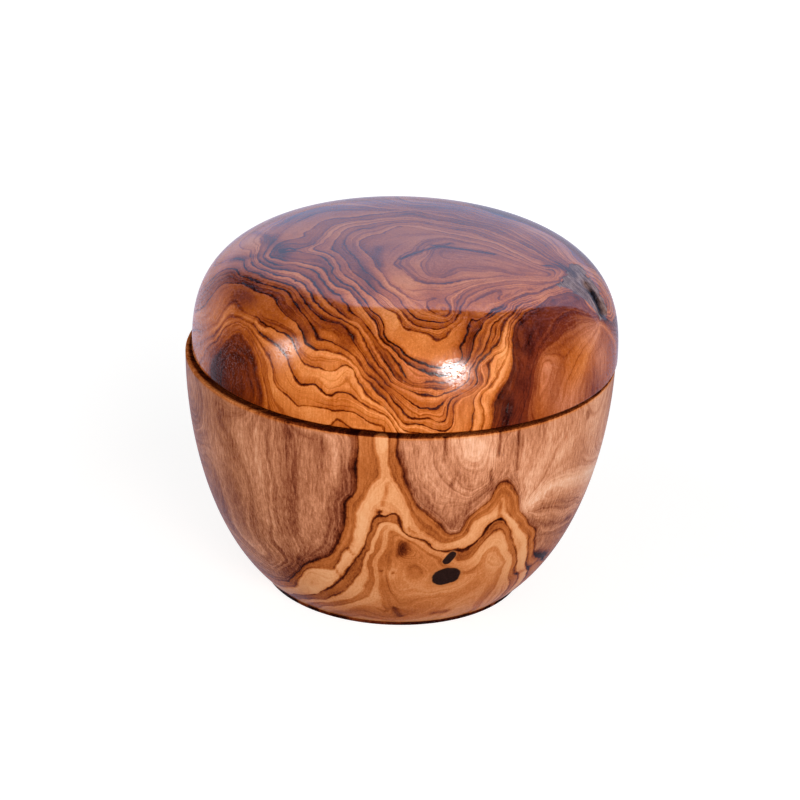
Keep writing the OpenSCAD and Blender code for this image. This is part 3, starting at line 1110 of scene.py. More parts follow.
LID_LINES = (
    GrowthLine(0, 0.2, ((442, 254), (470, 258), (500, 264), (540, 273))),
    GrowthLine(1, 0.3, ((457, 270), (480, 270), (512, 273), (545, 278))),
    GrowthLine(1, 0.3, ((424, 258), (440, 247), (470, 248), (502, 256), (540, 269))),
    GrowthLine(2, 0.4, ((404, 256), (420, 243), (450, 239), (490, 248), (536, 265))),
    GrowthLine(1, 0.55, ((420, 265), (422, 271), (428, 276), (441, 278), (452, 274), (457, 270))),
    GrowthLine(2, 0.6, ((398, 265), (404, 273), (412, 279), (425, 284), (444, 284), (472, 279))),
    GrowthLine(3, 0.7, ((386, 276), (393, 286), (412, 298), (428, 300), (444, 298), (457, 292))),
    GrowthLine(3, 0.5, ((457, 292), (500, 279), (555, 280))),
    GrowthLine(3, 0.6, ((359, 248), (364, 240), (391, 230), (404, 227), (428, 230), (492, 243), (532, 262),
        (555, 267))),
    GrowthLine(4, 0.9, ((410, 312), (418, 318), (438, 323), (447, 321), (455, 316), (458, 312))),
    GrowthLine(4, 0.6, ((345, 244), (351, 234), (364, 229), (400, 223), (432, 225), (482, 235), (530, 255),
        (557, 266))),
    GrowthLine(5, 1.0, ((401, 310), (411, 324), (428, 331), (438, 332), (455, 322), (462, 312))),
    GrowthLine(6, 0.8, ((313, 248), (328, 252), (337, 262), (341, 270), (363, 289), (397, 314), (401, 323),
        (407, 329), (428, 339), (442, 341), (447, 338), (450, 331))),
    GrowthLine(6, 0.6, ((455, 325), (466, 308), (480, 298), (500, 292), (557, 283))),
    GrowthLine(7, 1.2, ((284, 250), (310, 253), (324, 257), (331, 265), (332, 276), (341, 285), (353, 290),
        (378, 320), (386, 338), (411, 359), (432, 368))),
    GrowthLine(7, 0.9, ((458, 351), (472, 314))),
    GrowthLine(7, 0.5, ((310, 245), (319, 239), (330, 226), (349, 221), (400, 217), (432, 219), (482, 228),
        (522, 243), (559, 265))),
    GrowthLine(8, 1.1, ((280, 259), (288, 262), (304, 264), (318, 267), (329, 275), (346, 290), (374, 320),
        (383, 338), (391, 347), (401, 355), (425, 368))),
    GrowthLine(8, 1.3, ((471, 360), (473, 341), (478, 331), (499, 310))),
    GrowthLine(8, 0.5, ((301, 237), (310, 228), (326, 220), (349, 217), (400, 212), (440, 216), (480, 224),
        (514, 237), (561, 265))),
    GrowthLine(9, 1.0, ((292, 265), (310, 269), (321, 278), (327, 286), (346, 306), (381, 347), (397, 361),
        (411, 378), (422, 382), (432, 381))),
    GrowthLine(9, 0.6, ((503, 312), (520, 302), (557, 287))),
    GrowthLine(10, 1.2, ((262, 262), (270, 269), (297, 272), (308, 278), (340, 314), (352, 320), (360, 328),
        (381, 353), (382, 359), (397, 376), (405, 381), (418, 385), (442, 391), (449, 389))),
    GrowthLine(10, 0.5, ((258, 252), (261, 239), (275, 225), (297, 214), (317, 208), (337, 205))),
    GrowthLine(10, 0.5, ((380, 208), (444, 213), (476, 220), (508, 230), (532, 243), (563, 265))),
    GrowthLine(11, 1.0, ((499, 320), (490, 324), (490, 334), (486, 341), (486, 351), (481, 359))),
    GrowthLine(12, 0.6, ((340, 325), (384, 383))),
    GrowthLine(13, 1.0, ((320, 339), (350, 353), (358, 361), (364, 371), (374, 382), (411, 416), (427, 416),
        (437, 421), (447, 419), (450, 402), (457, 396), (472, 390), (478, 382), (477, 368), (498, 342),
        (503, 322), (510, 314), (526, 302))),
    GrowthLine(14, 1.2, ((248, 284), (277, 303), (297, 326), (304, 334), (307, 343), (329, 353), (342, 355),
        (350, 359), (360, 370))),
    GrowthLine(14, 1.0, ((360, 373), (366, 382), (376, 394), (403, 422), (411, 424), (418, 422), (438, 430),
        (448, 430), (458, 400), (478, 387))),
    GrowthLine(15, 0.9, ((305, 365), (331, 372), (350, 366), (360, 371))),
    GrowthLine(15, 0.9, ((492, 353), (493, 361), (490, 385), (483, 392), (476, 407), (469, 432))),
    GrowthLine(16, 1.0, ((511, 342), (502, 367), (480, 399))),
    GrowthLine(16, 1.0, ((222, 328), (228, 319), (237, 320), (253, 326), (260, 331), (282, 355), (298, 383),
        (315, 386), (322, 394), (330, 398), (346, 394), (386, 418), (394, 426), (398, 433))),
    GrowthLine(17, 0.9, ((285, 395), (298, 408), (307, 405), (332, 408), (336, 415), (339, 423))),
    GrowthLine(17, 0.9, ((340, 408), (355, 412), (373, 425), (378, 432))),
    GrowthLine(17, 0.5, ((528, 311), (519, 318), (512, 329), (510, 373), (497, 399), (489, 429))),
    GrowthLine(17, 0.6, ((536, 308), (545, 299), (561, 292), (573, 293), (582, 297), (594, 312),
        (605, 320))),
    GrowthLine(18, 0.06, ((590, 313), (565, 302), (545, 316), (529, 345), (520, 380), (507, 425))),
    GrowthLine(19, 0.06, ((596, 318), (577, 311), (556, 327), (540, 350), (529, 385), (517, 424))),
    GrowthLine(21, 0.06, ((602, 324), (585, 334), (562, 362), (551, 390), (546, 414))),
    GrowthLine(22, 0.06, ((603, 328), (592, 345), (577, 370), (569, 395), (566, 409))),
    GrowthLine(24, 0.06, ((606, 332), (604, 345), (600, 365), (597, 392))),
    GrowthLine(18, 0.5, ((225, 338), (237, 330), (248, 335), (258, 350), (268, 400))),
    GrowthLine(19, 0.1, ((212, 375), (213, 365), (217, 357), (230, 343), (238, 342), (245, 346), (252, 355),
        (255, 366), (255, 379), (260, 388), (262, 398), (260, 408))),
    GrowthLine(20, 0.06, ((600, 321), (582, 321), (545, 350), (535, 370), (528, 395), (525, 420))),
    GrowthLine(23, 0.06, ((602, 330), (596, 338), (589, 360), (585, 402))),
)

BOWL_KNOTS = (Knot(3.1, ((444, 577), (448, 576))), Knot(1.15, ((447, 561), (452, 555))))
BOWL_QUIET = (Stain(5.0, 1.0, ((412, 560), (420, 575), (412, 592), (440, 597), (465, 588))),)
BOWL_STAINS = (
    Stain(1.5, -0.38, ((403, 545), (401, 553))),
    Stain(1.9, -0.14, ((412, 566), (416, 572))),
    Stain(2.4, 0.16, ((387, 572),)),
    Stain(0.5, -0.4, ((381, 571),)),
    Stain(0.45, -0.4, ((393, 573),)),
    Stain(6.0, -0.12, ((402, 556), (424, 566), (438, 566))),
    Stain(3.4, -0.10, ((396, 586), (402, 600))),
    Stain(1.2, -0.3, ((434, 613), (446, 611))),
    Stain(0.9, -0.25, ((394, 608), (400, 616))),
    Stain(0.4, -0.35, ((388, 483), (385, 495), (383, 505))),
    Stain(0.35, -0.35, ((347, 548), (353, 554))),
    Stain(0.35, -0.35, ((335, 568), (341, 577))),
    Stain(0.45, -0.4, ((500, 502), (500, 519))),
    Stain(2.6, -0.11, ((352, 470), (344, 500), (337, 528), (326, 552), (303, 563), (288, 578))),
    Stain(1.3, -0.14, ((400, 455), (407, 478), (424, 503), (450, 524))),
    Stain(1.2, -0.14, ((455, 524), (468, 506), (486, 490))),
    Stain(4.2, 0.13, ((463, 444), (478, 450), (492, 453))),
    Stain(2.4, 0.2, ((530, 503), (545, 490), (570, 479), (592, 470), (605, 456))),
    Stain(1.6, -0.1, ((540, 509), (560, 500), (585, 496))),
    Stain(0.9, -0.12, ((530, 521), (552, 524), (570, 517))),
    Stain(0.35, -0.35, ((446, 437), (446, 461))),
    Stain(0.35, -0.4, ((501, 432), (500, 444), (499, 455))),
    Stain(0.35, -0.4, ((520, 430), (519, 450), (517, 470))),
    Stain(0.35, -0.35, ((492, 470), (491, 491))),
    Stain(0.3, -0.3, ((452, 480), (453, 491))),
    Stain(0.3, -0.3, ((471, 486), (471, 494))),
    Stain(0.9, -0.28, ((588, 412), (588, 417))),
    Stain(1.5, -0.34, ((536, 553), (544, 556))),
    Stain(0.8, -0.2, ((517, 573), (528, 568), (536, 562))),
    Stain(4.0, -0.10, ((232, 450), (236, 495), (248, 530))),
    Stain(1.6, 0.12, ((258, 425), (260, 470), (268, 520))),
    Stain(1.6, 0.10, ((330, 440), (336, 462), (328, 485))),
    Stain(2.0, -0.12, ((286, 430), (290, 480), (290, 530))),
)
LID_QUIET = (
    Stain(5.0, 1.0, ((200, 350), (212, 320), (232, 312), (240, 335), (236, 370), (245, 395))),
    Stain(4.0, 0.7, ((222, 300), (250, 312))),
    Stain(5.5, 1.0, ((516, 420), (527, 385), (532, 350), (552, 325), (585, 325), (600, 345), (592, 385),
        (560, 405), (550, 370))),
    Stain(2.0, 0.8, ((548, 303), (575, 305), (596, 317))),
)
LID_STAINS = (
    Stain(1.6, -0.18, ((364, 270), (372, 292))),
    Stain(2.2, -0.22, ((270, 238), (283, 254))),
    Stain(1.0, -0.2, ((254, 232), (266, 236))),
    Stain(1.2, -0.2, ((232, 260), (257, 256))),
    Stain(1.3, -0.2, ((379, 248), (376, 256), (380, 265))),
    Stain(0.4, -0.4, ((400, 259), (425, 250), (452, 243))),
    Stain(0.4, -0.4, ((431, 245), (460, 249), (494, 254))),
    # Painted shadow in the dark wedge beside the bark pocket.
    Stain(1.5, -0.3, ((547, 265), (560, 267), (572, 271))),
    # Painted shade down the bark pocket's slot, a recess.
    Stain(1.1, -0.5, ((594, 291), (600, 303), (604, 316))),
    Stain(2.6, -0.13, ((305, 331), (322, 326), (339, 329), (347, 345))),
    Stain(2.2, -0.12, ((368, 352), (376, 368), (384, 380))),
    Stain(3.0, -0.16, ((238, 295), (262, 303), (284, 316))),
    Stain(2.4, -0.12, ((300, 305), (330, 318), (352, 340))),
    Stain(7.0, -0.13, ((212, 300), (225, 290), (240, 296))),
    Stain(1.4, -0.12, ((517, 315), (528, 335), (530, 352))),
    Stain(1.6, -0.12, ((500, 392), (508, 410), (506, 424))),
    Stain(1.2, 0.14, ((507, 330), (502, 365), (484, 410))),
)
LID_BARK = (
    (557, 285), (563, 279), (568, 271), (573, 263), (580, 266), (588, 276), (597, 288), (604, 301),
        (607, 316),
    (601, 318), (594, 310), (586, 300), (577, 294), (571, 290), (564, 287),
)
LID_SLOT = ((588, 285), (596, 297), (601, 306), (604, 315))

LID_BANDS = bands(
    (0.50, 0.45, 0), (0.55, 0.50, 0), (0.60, 0.50, 0), (0.62, 0.50, 0), (0.40, 0.48, 0), (0.60, 0.52, 1),
    (0.60, 0.50, 0), (0.38, 0.42, 1), (0.60, 0.52, 1), (0.40, 0.44, 0), (0.62, 0.52, 0), (0.60, 0.50, 1),
    (0.50, 0.60, 0), (0.46, 0.50, 1), (0.60, 0.55, 0), (0.66, 0.58, 1), (0.62, 0.56, 1), (0.58, 0.45, 1),
    (0.46, 0.22, 0), (0.17, 0.18, 0), (0.18, 0.18, 0), (0.18, 0.18, 0), (0.18, 0.20, 0), (0.20, 0.20, 0),
    (0.20, 0.20, 0), (0.20, 0.20, 0),
)
PATCH_BANDS = bands(
    (0.27, 0.26, 1), (0.26, 0.29, 0), (0.29, 0.36, 0), (0.37, 0.48, 0), (0.49, 0.56, 0), (0.54, 0.50, 0),
    (0.43, 0.41, 0),
)
BOWL_BANDS = bands(
    (0.50, 0.48, 0), (0.46, 0.50, 0), (0.50, 0.46, 0), (0.48, 0.44, 0), (0.46, 0.34, 0), (0.52, 0.47, 1),
    (0.86, 0.80, 0), (0.40, 0.44, 1), (0.74, 0.76, 0), (0.48, 0.50, 0), (0.74, 0.70, 0), (0.54, 0.56, 0),
    (0.70, 0.72, 0), (0.60, 0.60, 0),
)
BOWL_SIDE_BANDS = bands(
    (0.66, 0.62, 0), (0.64, 0.60, 0), (0.62, 0.60, 0), (0.60, 0.58, 0), (0.56, 0.42, 0), (0.52, 0.47, 1),
    (0.80, 0.76, 0), (0.42, 0.48, 1), (0.70, 0.74, 0), (0.74, 0.74, 0), (0.72, 0.66, 0), (0.50, 0.56, 0),
    (0.66, 0.70, 0), (0.64, 0.60, 0),
)


@dataclass
class Bowl(TurnedWood):
    """The bowl: a rounded belly on a flat foot, a flat land round the mouth and a deep round hollow."""

    rim_r: float = 55.0
    height: float = 61.7
    foot_r: float = 33.9
    foot_band: float = 0.8
    belly_run_on: float = 8.3
    belly_power: float = 1.88
    rim_edge_r: float = 0.4
    land_width: float = 11.5
    floor: float = 10.0
    hollow_power: float = 2.5
    mouth_edge_r: float = 1.0
    pivot_r: float = 48.6
    pin_seat_r: float = 2.03
    pin_seat_depth: float = 16.0
    magnet_seat_r: float = 3.03
    magnet_seat_depth: float = 3.1
    land_crowding: float = 1.6
    # Painted shade at the foot and under the lid, and painted light on the land.
    foot_shade: float = 0.66
    foot_fade: float = 0.12
    rim_shade_depth: float = 0.32
    overhang_shade: float = 0.38
    overhang_shade_from: float = -40.0
    overhang_shade_before: float = -10.0
    lid_edge_shadow: float = 0.36
    lid_edge_shadow_from: float = 0.75
    lid_edge_shadow_width: float = 3.6
    lid_edge_shadow_fade: float = 2.4
    painted_land_light: float = 0.04

    @property
    def belly_depth(self) -> float:
        """Depth below the rim at which the belly curve would close."""
        return self.height + self.belly_run_on

    @property
    def side_power(self) -> float:
        """Power of the radius term that brings the belly to the foot's radius at the foot band."""
        share = (self.height - self.foot_band) / self.belly_depth
        return math.log(1 - share**self.belly_power) / math.log(self.foot_r / self.rim_r)

    def outside_level(self, points: Array) -> Array:
        """Belly equation less one, and well above zero outside the bowl's height."""
        radius = np.hypot(points[:, 0], points[:, 1])
        depth = self.height - points[:, 2]
        across, down = radius / self.rim_r, np.clip(depth, 0, None) / self.belly_depth
        level = across**self.side_power + down**self.belly_power
        return level - 1 + FAR * ((depth < 0) | (points[:, 2] < 0))

    def profile(self) -> tuple[Array, slice]:
        """From the foot's centre up the belly, over the land and down the hollow."""
        belly_end = self.height - self.foot_band
        belly = self.turned_curve(
            self.rim_r, self.belly_depth, self.side_power, self.belly_power, self.rim_edge_r, belly_end
        )[::-1] * [1, -1] + [0, self.height]
        rim = (belly[-1, 0] - self.rim_edge_r, self.height - self.rim_edge_r)
        mouth_r, depth, power = self.rim_r - self.land_width, self.height - self.floor, self.hollow_power
        hollow = self.turned_curve(mouth_r, depth, power, power, self.mouth_edge_r, depth)
        hollow = hollow * [1, -1] + [0, self.height]
        mouth = (hollow[0, 0] + self.mouth_edge_r, self.height - self.mouth_edge_r)
        base = np.linspace([1.5, 0], [self.foot_r, 0], 18)
        band = np.linspace([self.foot_r, 0], [self.foot_r, self.foot_band], 4)[1:]
        outside = np.concatenate(
            [base, band, self.along(belly)[1:], self.arc(rim, self.rim_edge_r, 0, 90)[1:-1]]
        )
        share = np.linspace(0, 1, self.land_rows)[:, None] ** self.land_crowding
        land = (1 - share) * [rim[0], self.height] + share * [mouth[0], self.height]
        inside = np.concatenate(
            [self.arc(mouth, self.mouth_edge_r, 90, 180)[1:], self.along(hollow, 2.0)[1:-1]]
        )
        return np.concatenate([outside, land, inside]), slice(len(outside), len(outside) + self.land_rows)

    def painted_shade(self, points: Array) -> Array:
        """Painted shade at the foot's edge, painted shadow on the rim under the lid, painted light on the
        land.
        """
        x, y, z = points.T
        radius = np.hypot(x, y)
        # Painted shade on the foot's edge, where it stands on the table.
        foot = (
            self.foot_shade - self.foot_fade * z
        ) * (z < self.foot_band + 0.1) * (radius > self.foot_r - 3)
        near_rim = np.clip((z - self.height + self.rim_shade_depth) / 0.1, 0, 1)
        near_rim *= radius > self.rim_r - self.land_width
        # Painted shadow on the front of the rim, under the lid's overhang.
        overhang_shadow = np.clip(
            (x - self.overhang_shade_from) / 24, 0, 1
        ) * (y < self.overhang_shade_before) * (radius > self.rim_r - 1.2)
        # Painted shadow in a ring on the land, just inside the lid's edge.
        inward = self.rim_r - self.lid_edge_shadow_from - radius
        lid_edge_shadow_ring = np.clip(inward / 0.3, 0, 1) * np.clip((self.lid_edge_shadow_width - inward) / self.lid_edge_shadow_fade, 0, 1)
        seam_shade = np.maximum(self.overhang_shade * overhang_shadow, self.lid_edge_shadow * lid_edge_shadow_ring)
        # Painted light lifts the land a little.
        return foot + near_rim * (seam_shade - self.painted_land_light)

    def dull_part(self, points: Array) -> Array:
        """The foot, the land and the hollow have no lacquer."""
        radius, z = np.hypot(points[:, 0], points[:, 1]), points[:, 2]
        mouth_r = self.rim_r - self.land_width
        within = (radius / (mouth_r + 1)) ** 2 + ((self.height - z) / self.height) ** 2 < 1.02
        inside = (radius < mouth_r) & (z > self.floor - 0.5) & within
        return (inside | (z > self.height - 0.45) | (z < 0.05)).astype(float)

    def poles(self) -> tuple[float, float]:
        """The foot and the bottom of the hollow."""
        return 0.0, self.floor

    def pockets(self) -> tuple[Pocket, ...]:
        """Seats of the pin and of the magnet."""
        return (
            Pocket((0, self.pivot_r), self.pin_seat_r, self.pin_seat_depth),
            Pocket((0, -self.pivot_r), self.magnet_seat_r, self.magnet_seat_depth),
        )

    def figure(self) -> GrowthFigure:
        """The bowl's growth lines: two flat-cut zones round a column, and a dark peak over the knots."""
        return GrowthFigure(
            (0, 0, 30), 0.0, 3.4, 1.5, 46.0, 11, BOWL_LINES, BOWL_STAINS, BOWL_KNOTS, quiet=BOWL_QUIET,
            reach=18.0, plain_depth=0.25,
        )

    def finish(self) -> OliveWood:
        """The bowl's wood."""
        return OliveWood(
            name="lacquered_olive_wood_bowl",
            tones=(
                (0.0, "#220703"), (0.14, "#4a1a0a"), (0.3, "#7d3a17"), (0.45, "#ad602d"), (0.6, "#c87b46"),
                (0.78, "#e09d6a"), (1.0, "#efba8c"),
            ),
            fill=BOWL_BANDS, side_fill=BOWL_SIDE_BANDS, side_from=0, side_to=99, side_edge=(-4.0, 0.0),
            axis_place=(0.0, 0.0), streaks_below=5.0,
            streak_tones=(
                (0.0, "#260b04"), (0.14, "#522012"), (0.3, "#82452c"), (0.45, "#a96b4a"), (0.6, "#ca8a66"),
                (0.78, "#e6ae8c"), (1.0, "#f4ceb2"),
            ),
            streak_strength=0.13, cloud_strength=0.24, vein_pitch=6.5, pore_width=0.24, pore_length=2.6,
            pore_strength=0.15, hair_darkening=0.07, line_width=0.36, brushed_below=(98.0, 99.0),
            brush_height=2.0, coat_weight=0.38,
        )

    def build(self, camera: PhotoCamera) -> bpy.types.Object:
        """Makes the bowl in place of its CAD node."""
        piece = make_mesh("olive_bowl", *self.surface())
        figure = self.figure()
        figure.pin(camera, self)
        write_attributes(piece, figure.attributes(camera, self, *vertex_arrays(piece)))
        piece.data.materials.append(self.finish().material())
        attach(piece, Body.BOWL.value)
        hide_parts("bowl")
        return piece


@dataclass
class Lid(TurnedWood):
    """The lid: a full dome with a shallow hollow below, turned a little on its pin at rest."""

    rim_r: float = 54.4
    seam_z: float = 62.2
    height: float = 31.5
    side_power: float = 3.3
    crown_power: float = 2.84
    edge_r: float = 0.8
    land_width: float = 11.5
    hollow_depth: float = 15.0
    hollow_power: float = 2.5
    mouth_edge_r: float = 1.0
    pivot_r: float = 48.6
    rest_swing: float = 1.2
    pocket_slope: float = 0.9
    pocket_sink: float = 0.2
    slot_sink: float = 0.9
    slot_width: float = 1.6
    # Painted shade on the lid's lower edge, over the seam.
    edge_shade: float = 0.45
    edge_shade_height: float = 0.6
    sleeve_seat_r: float = 2.78
    sleeve_seat_depth: float = 10.0
    magnet_seat_r: float = 3.03
    magnet_seat_depth: float = 3.1

    def swing(self, points: Array, degrees: float) -> Array:
        """Turns points about the upright pin."""
        turn = math.radians(degrees)
        flat = points[:, :2] - [0, self.pivot_r]
        turned = np.stack(
            [
                flat[:, 0] * math.cos(turn) - flat[:, 1] * math.sin(turn),
                flat[:, 0] * math.sin(turn) + flat[:, 1] * math.cos(turn),
            ],
            axis=1,
        )
        return np.column_stack([turned + [0, self.pivot_r], points[:, 2]])

    def settle(self, points: Array) -> Array:
        """Turns the lid to where it rests."""
        return self.swing(points, self.rest_swing)

    def outside_level(self, points: Array) -> Array:
        """Dome equation less one, and well above zero below the seam."""
        local = self.swing(points, -self.rest_swing)
        up = local[:, 2] - self.seam_z
        radius = np.hypot(local[:, 0], local[:, 1])
        level = (radius / self.rim_r) ** self.side_power + (
            np.clip(up, 0, None) / self.height
        ) ** self.crown_power
        return level - 1 + FAR * (up < 0)

    def profile(self) -> tuple[Array, slice]:
        """From the top of the hollow down and out over the land, then up the side and over the crown."""
        mouth_r, depth, power = self.rim_r - self.land_width, self.hollow_depth, self.hollow_power
        hollow = self.turned_curve(mouth_r, depth, power, power, self.mouth_edge_r, depth) + [0, self.seam_z]
        mouth = (hollow[0, 0] + self.mouth_edge_r, self.seam_z + self.mouth_edge_r)
        dome = self.turned_curve(
            self.rim_r, self.height, self.side_power, self.crown_power, self.edge_r, self.height
        ) + [0, self.seam_z]
        edge = (dome[0, 0] - self.edge_r, self.seam_z + self.edge_r)
        inside = np.concatenate(
            [self.along(hollow[::-1], 1.5)[1:], self.arc(mouth, self.mouth_edge_r, 180, 270)[1:-1]]
        )
        land = np.linspace([mouth[0], self.seam_z], [edge[0], self.seam_z], self.land_rows)
        outside = np.concatenate([self.arc(edge, self.edge_r, -90, 0)[1:], self.along(dome)[1:-1]])
        return np.concatenate([inside, land, outside]), slice(len(inside), len(inside) + self.land_rows)

    def painted_shade(self, points: Array) -> Array:
        """Painted shade along the lower edge, which faces down into the seam."""
        return self.edge_shade * np.clip((self.seam_z + self.edge_shade_height - points[:, 2]) / 0.35, 0, 1)

    def dull_part(self, points: Array) -> Array:
        """The underside and its hollow have no lacquer."""
        radius = np.hypot(points[:, 0], points[:, 1])
        up = points[:, 2] - self.seam_z
        hollow = (radius < self.rim_r - self.land_width + 1) & (up < self.hollow_depth + 0.5)
        return ((up < 0.3) | hollow).astype(float)

    def poles(self) -> tuple[float, float]:
        """The top of the hollow and the crown."""
        return self.seam_z + self.hollow_depth, self.seam_z + self.height

    def pockets(self) -> tuple[Pocket, ...]:
        """Seats of the sleeve and of the magnet, which go up from the land."""
        return (
            Pocket((0, self.pivot_r), self.sleeve_seat_r, -self.sleeve_seat_depth),
            Pocket((0, -self.pivot_r), self.magnet_seat_r, -self.magnet_seat_depth),
        )

    def pocket_depth(self, camera: PhotoCamera, points: Array, bark: Array) -> Array:
        """How far the bark pocket is sunk: a little all over and deepest along its slot.

        Args:
            camera: the photograph's camera, which carries the slot's marks.
            points: places in millimetres.
            bark: distance from the pocket's edge, negative inside.

        Returns:
            The depth at each point in millimetres.
        """
        slot = camera.land(np.array(LID_SLOT, float), self)
        share = np.clip(-bark / self.pocket_slope, 0, 1)
        in_slot = np.exp(-((stroke_distance(points, slot) / self.slot_width) ** 2))
        return share * (self.pocket_sink + self.slot_sink * in_slot)

    def figure(self) -> GrowthFigure:
        """The lid's growth lines: rings round an eye on the crown, drawn together at the bark pocket."""
        return GrowthFigure(
            (9.3, -13.2, 93.5), 0.2, 0.0, 0.8, 34.0, 5, LID_LINES, LID_STAINS, (), LID_BARK, LID_QUIET,
            reach=20.0,
        )

    def finish(self) -> OliveWood:
        """The lid's wood."""
        return OliveWood(
            name="lacquered_olive_wood_lid",
            tones=(
                (0.0, "#2a0600"), (0.14, "#541a02"), (0.28, "#7c3006"), (0.45, "#ae5618"), (0.6, "#d07838"),
                (0.78, "#f0a060"), (1.0, "#fcbb88"),
            ),
            streak_tones=(
                (0.0, "#260604"), (0.14, "#50170a"), (0.28, "#772d13"), (0.45, "#a65a35"), (0.6, "#ca7d58"),
                (0.78, "#e6a280"), (1.0, "#f4c6a8"),
            ),
            fill=LID_BANDS, side_fill=PATCH_BANDS, side_from=17, side_to=99, side_edge=(12.0, 16.0),
            axis_place=(1.018, 0.011), quiet_pink=1.0,
        )

    def build(self, camera: PhotoCamera) -> bpy.types.Object:
        """Makes the lid in place of its CAD node."""
        piece = make_mesh("olive_lid", *self.surface())
        figure = self.figure()
        figure.pin(camera, self)
        points, normals = vertex_arrays(piece)
        values = figure.attributes(camera, self, points, normals)
        write_attributes(piece, values)
        sunk = self.pocket_depth(camera, points, values["bark"])
        piece.data.vertices.foreach_set("co", ((points - sunk[:, None] * normals) * MM).ravel())
        piece.data.update()
        piece.data.materials.append(self.finish().material())
        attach(piece, Body.LID.value)
        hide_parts("lid")
        return piece


@dataclass(frozen=True)
class SwivelAndCatch:
    """The metal in the seam: pin, sleeve, washer and the two magnets, which keep their CAD meshes."""

    pivot: tuple[float, float] = (0.0, 48.6)
    catch: tuple[float, float] = (0.0, -48.6)
    lid_catch: tuple[float, float] = (2.036, -48.58)

    def dress(self) -> list[bpy.types.Object]:
        """Gives each CAD node its metal."""
        brass = PlainMetal("turned_brass", "#d6b26a", "#a37a3a", 0.28, 0.004, self.pivot)
        finishes = {
            "hinge_pin": PlainMetal("ground_steel", "#c3c5c8", "#8f9093", 0.24, 0.003, self.pivot),
            "spacer_washer": brass, "pin_sleeve": brass,
            "bowl_magnet": PlainMetal("nickel_plate", "#d2d0ca", "#a8a49b", 0.12, 0.001, self.catch),
            "lid_magnet": PlainMetal("nickel_plate_lid", "#d2d0ca", "#a8a49b", 0.12, 0.001, self.lid_catch),
        }
        made = {name: finish.material() for name, finish in {f.name: f for f in finishes.values()}.items()}
        pieces = []
        for name, finish in finishes.items():
            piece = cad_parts[name]
            piece.data.materials.clear()
            piece.data.materials.append(made[finish.name])
            pieces.append(piece)
        return pieces


@dataclass(frozen=True)
class Lamp:
    """A round lamp that lights the wood softly and isn't mirrored: its place, size and strength."""

    name: str
    azimuth: float
    elevation: float
    distance: float
    size: float
    watts: float
    colour: str


@dataclass(frozen=True)
class Glow:
    """A soft bright spot of the room that the lacquer mirrors: its direction, width, height and strength."""

    azimuth: float
    elevation: float
    width: float
    height: float
    strength: float


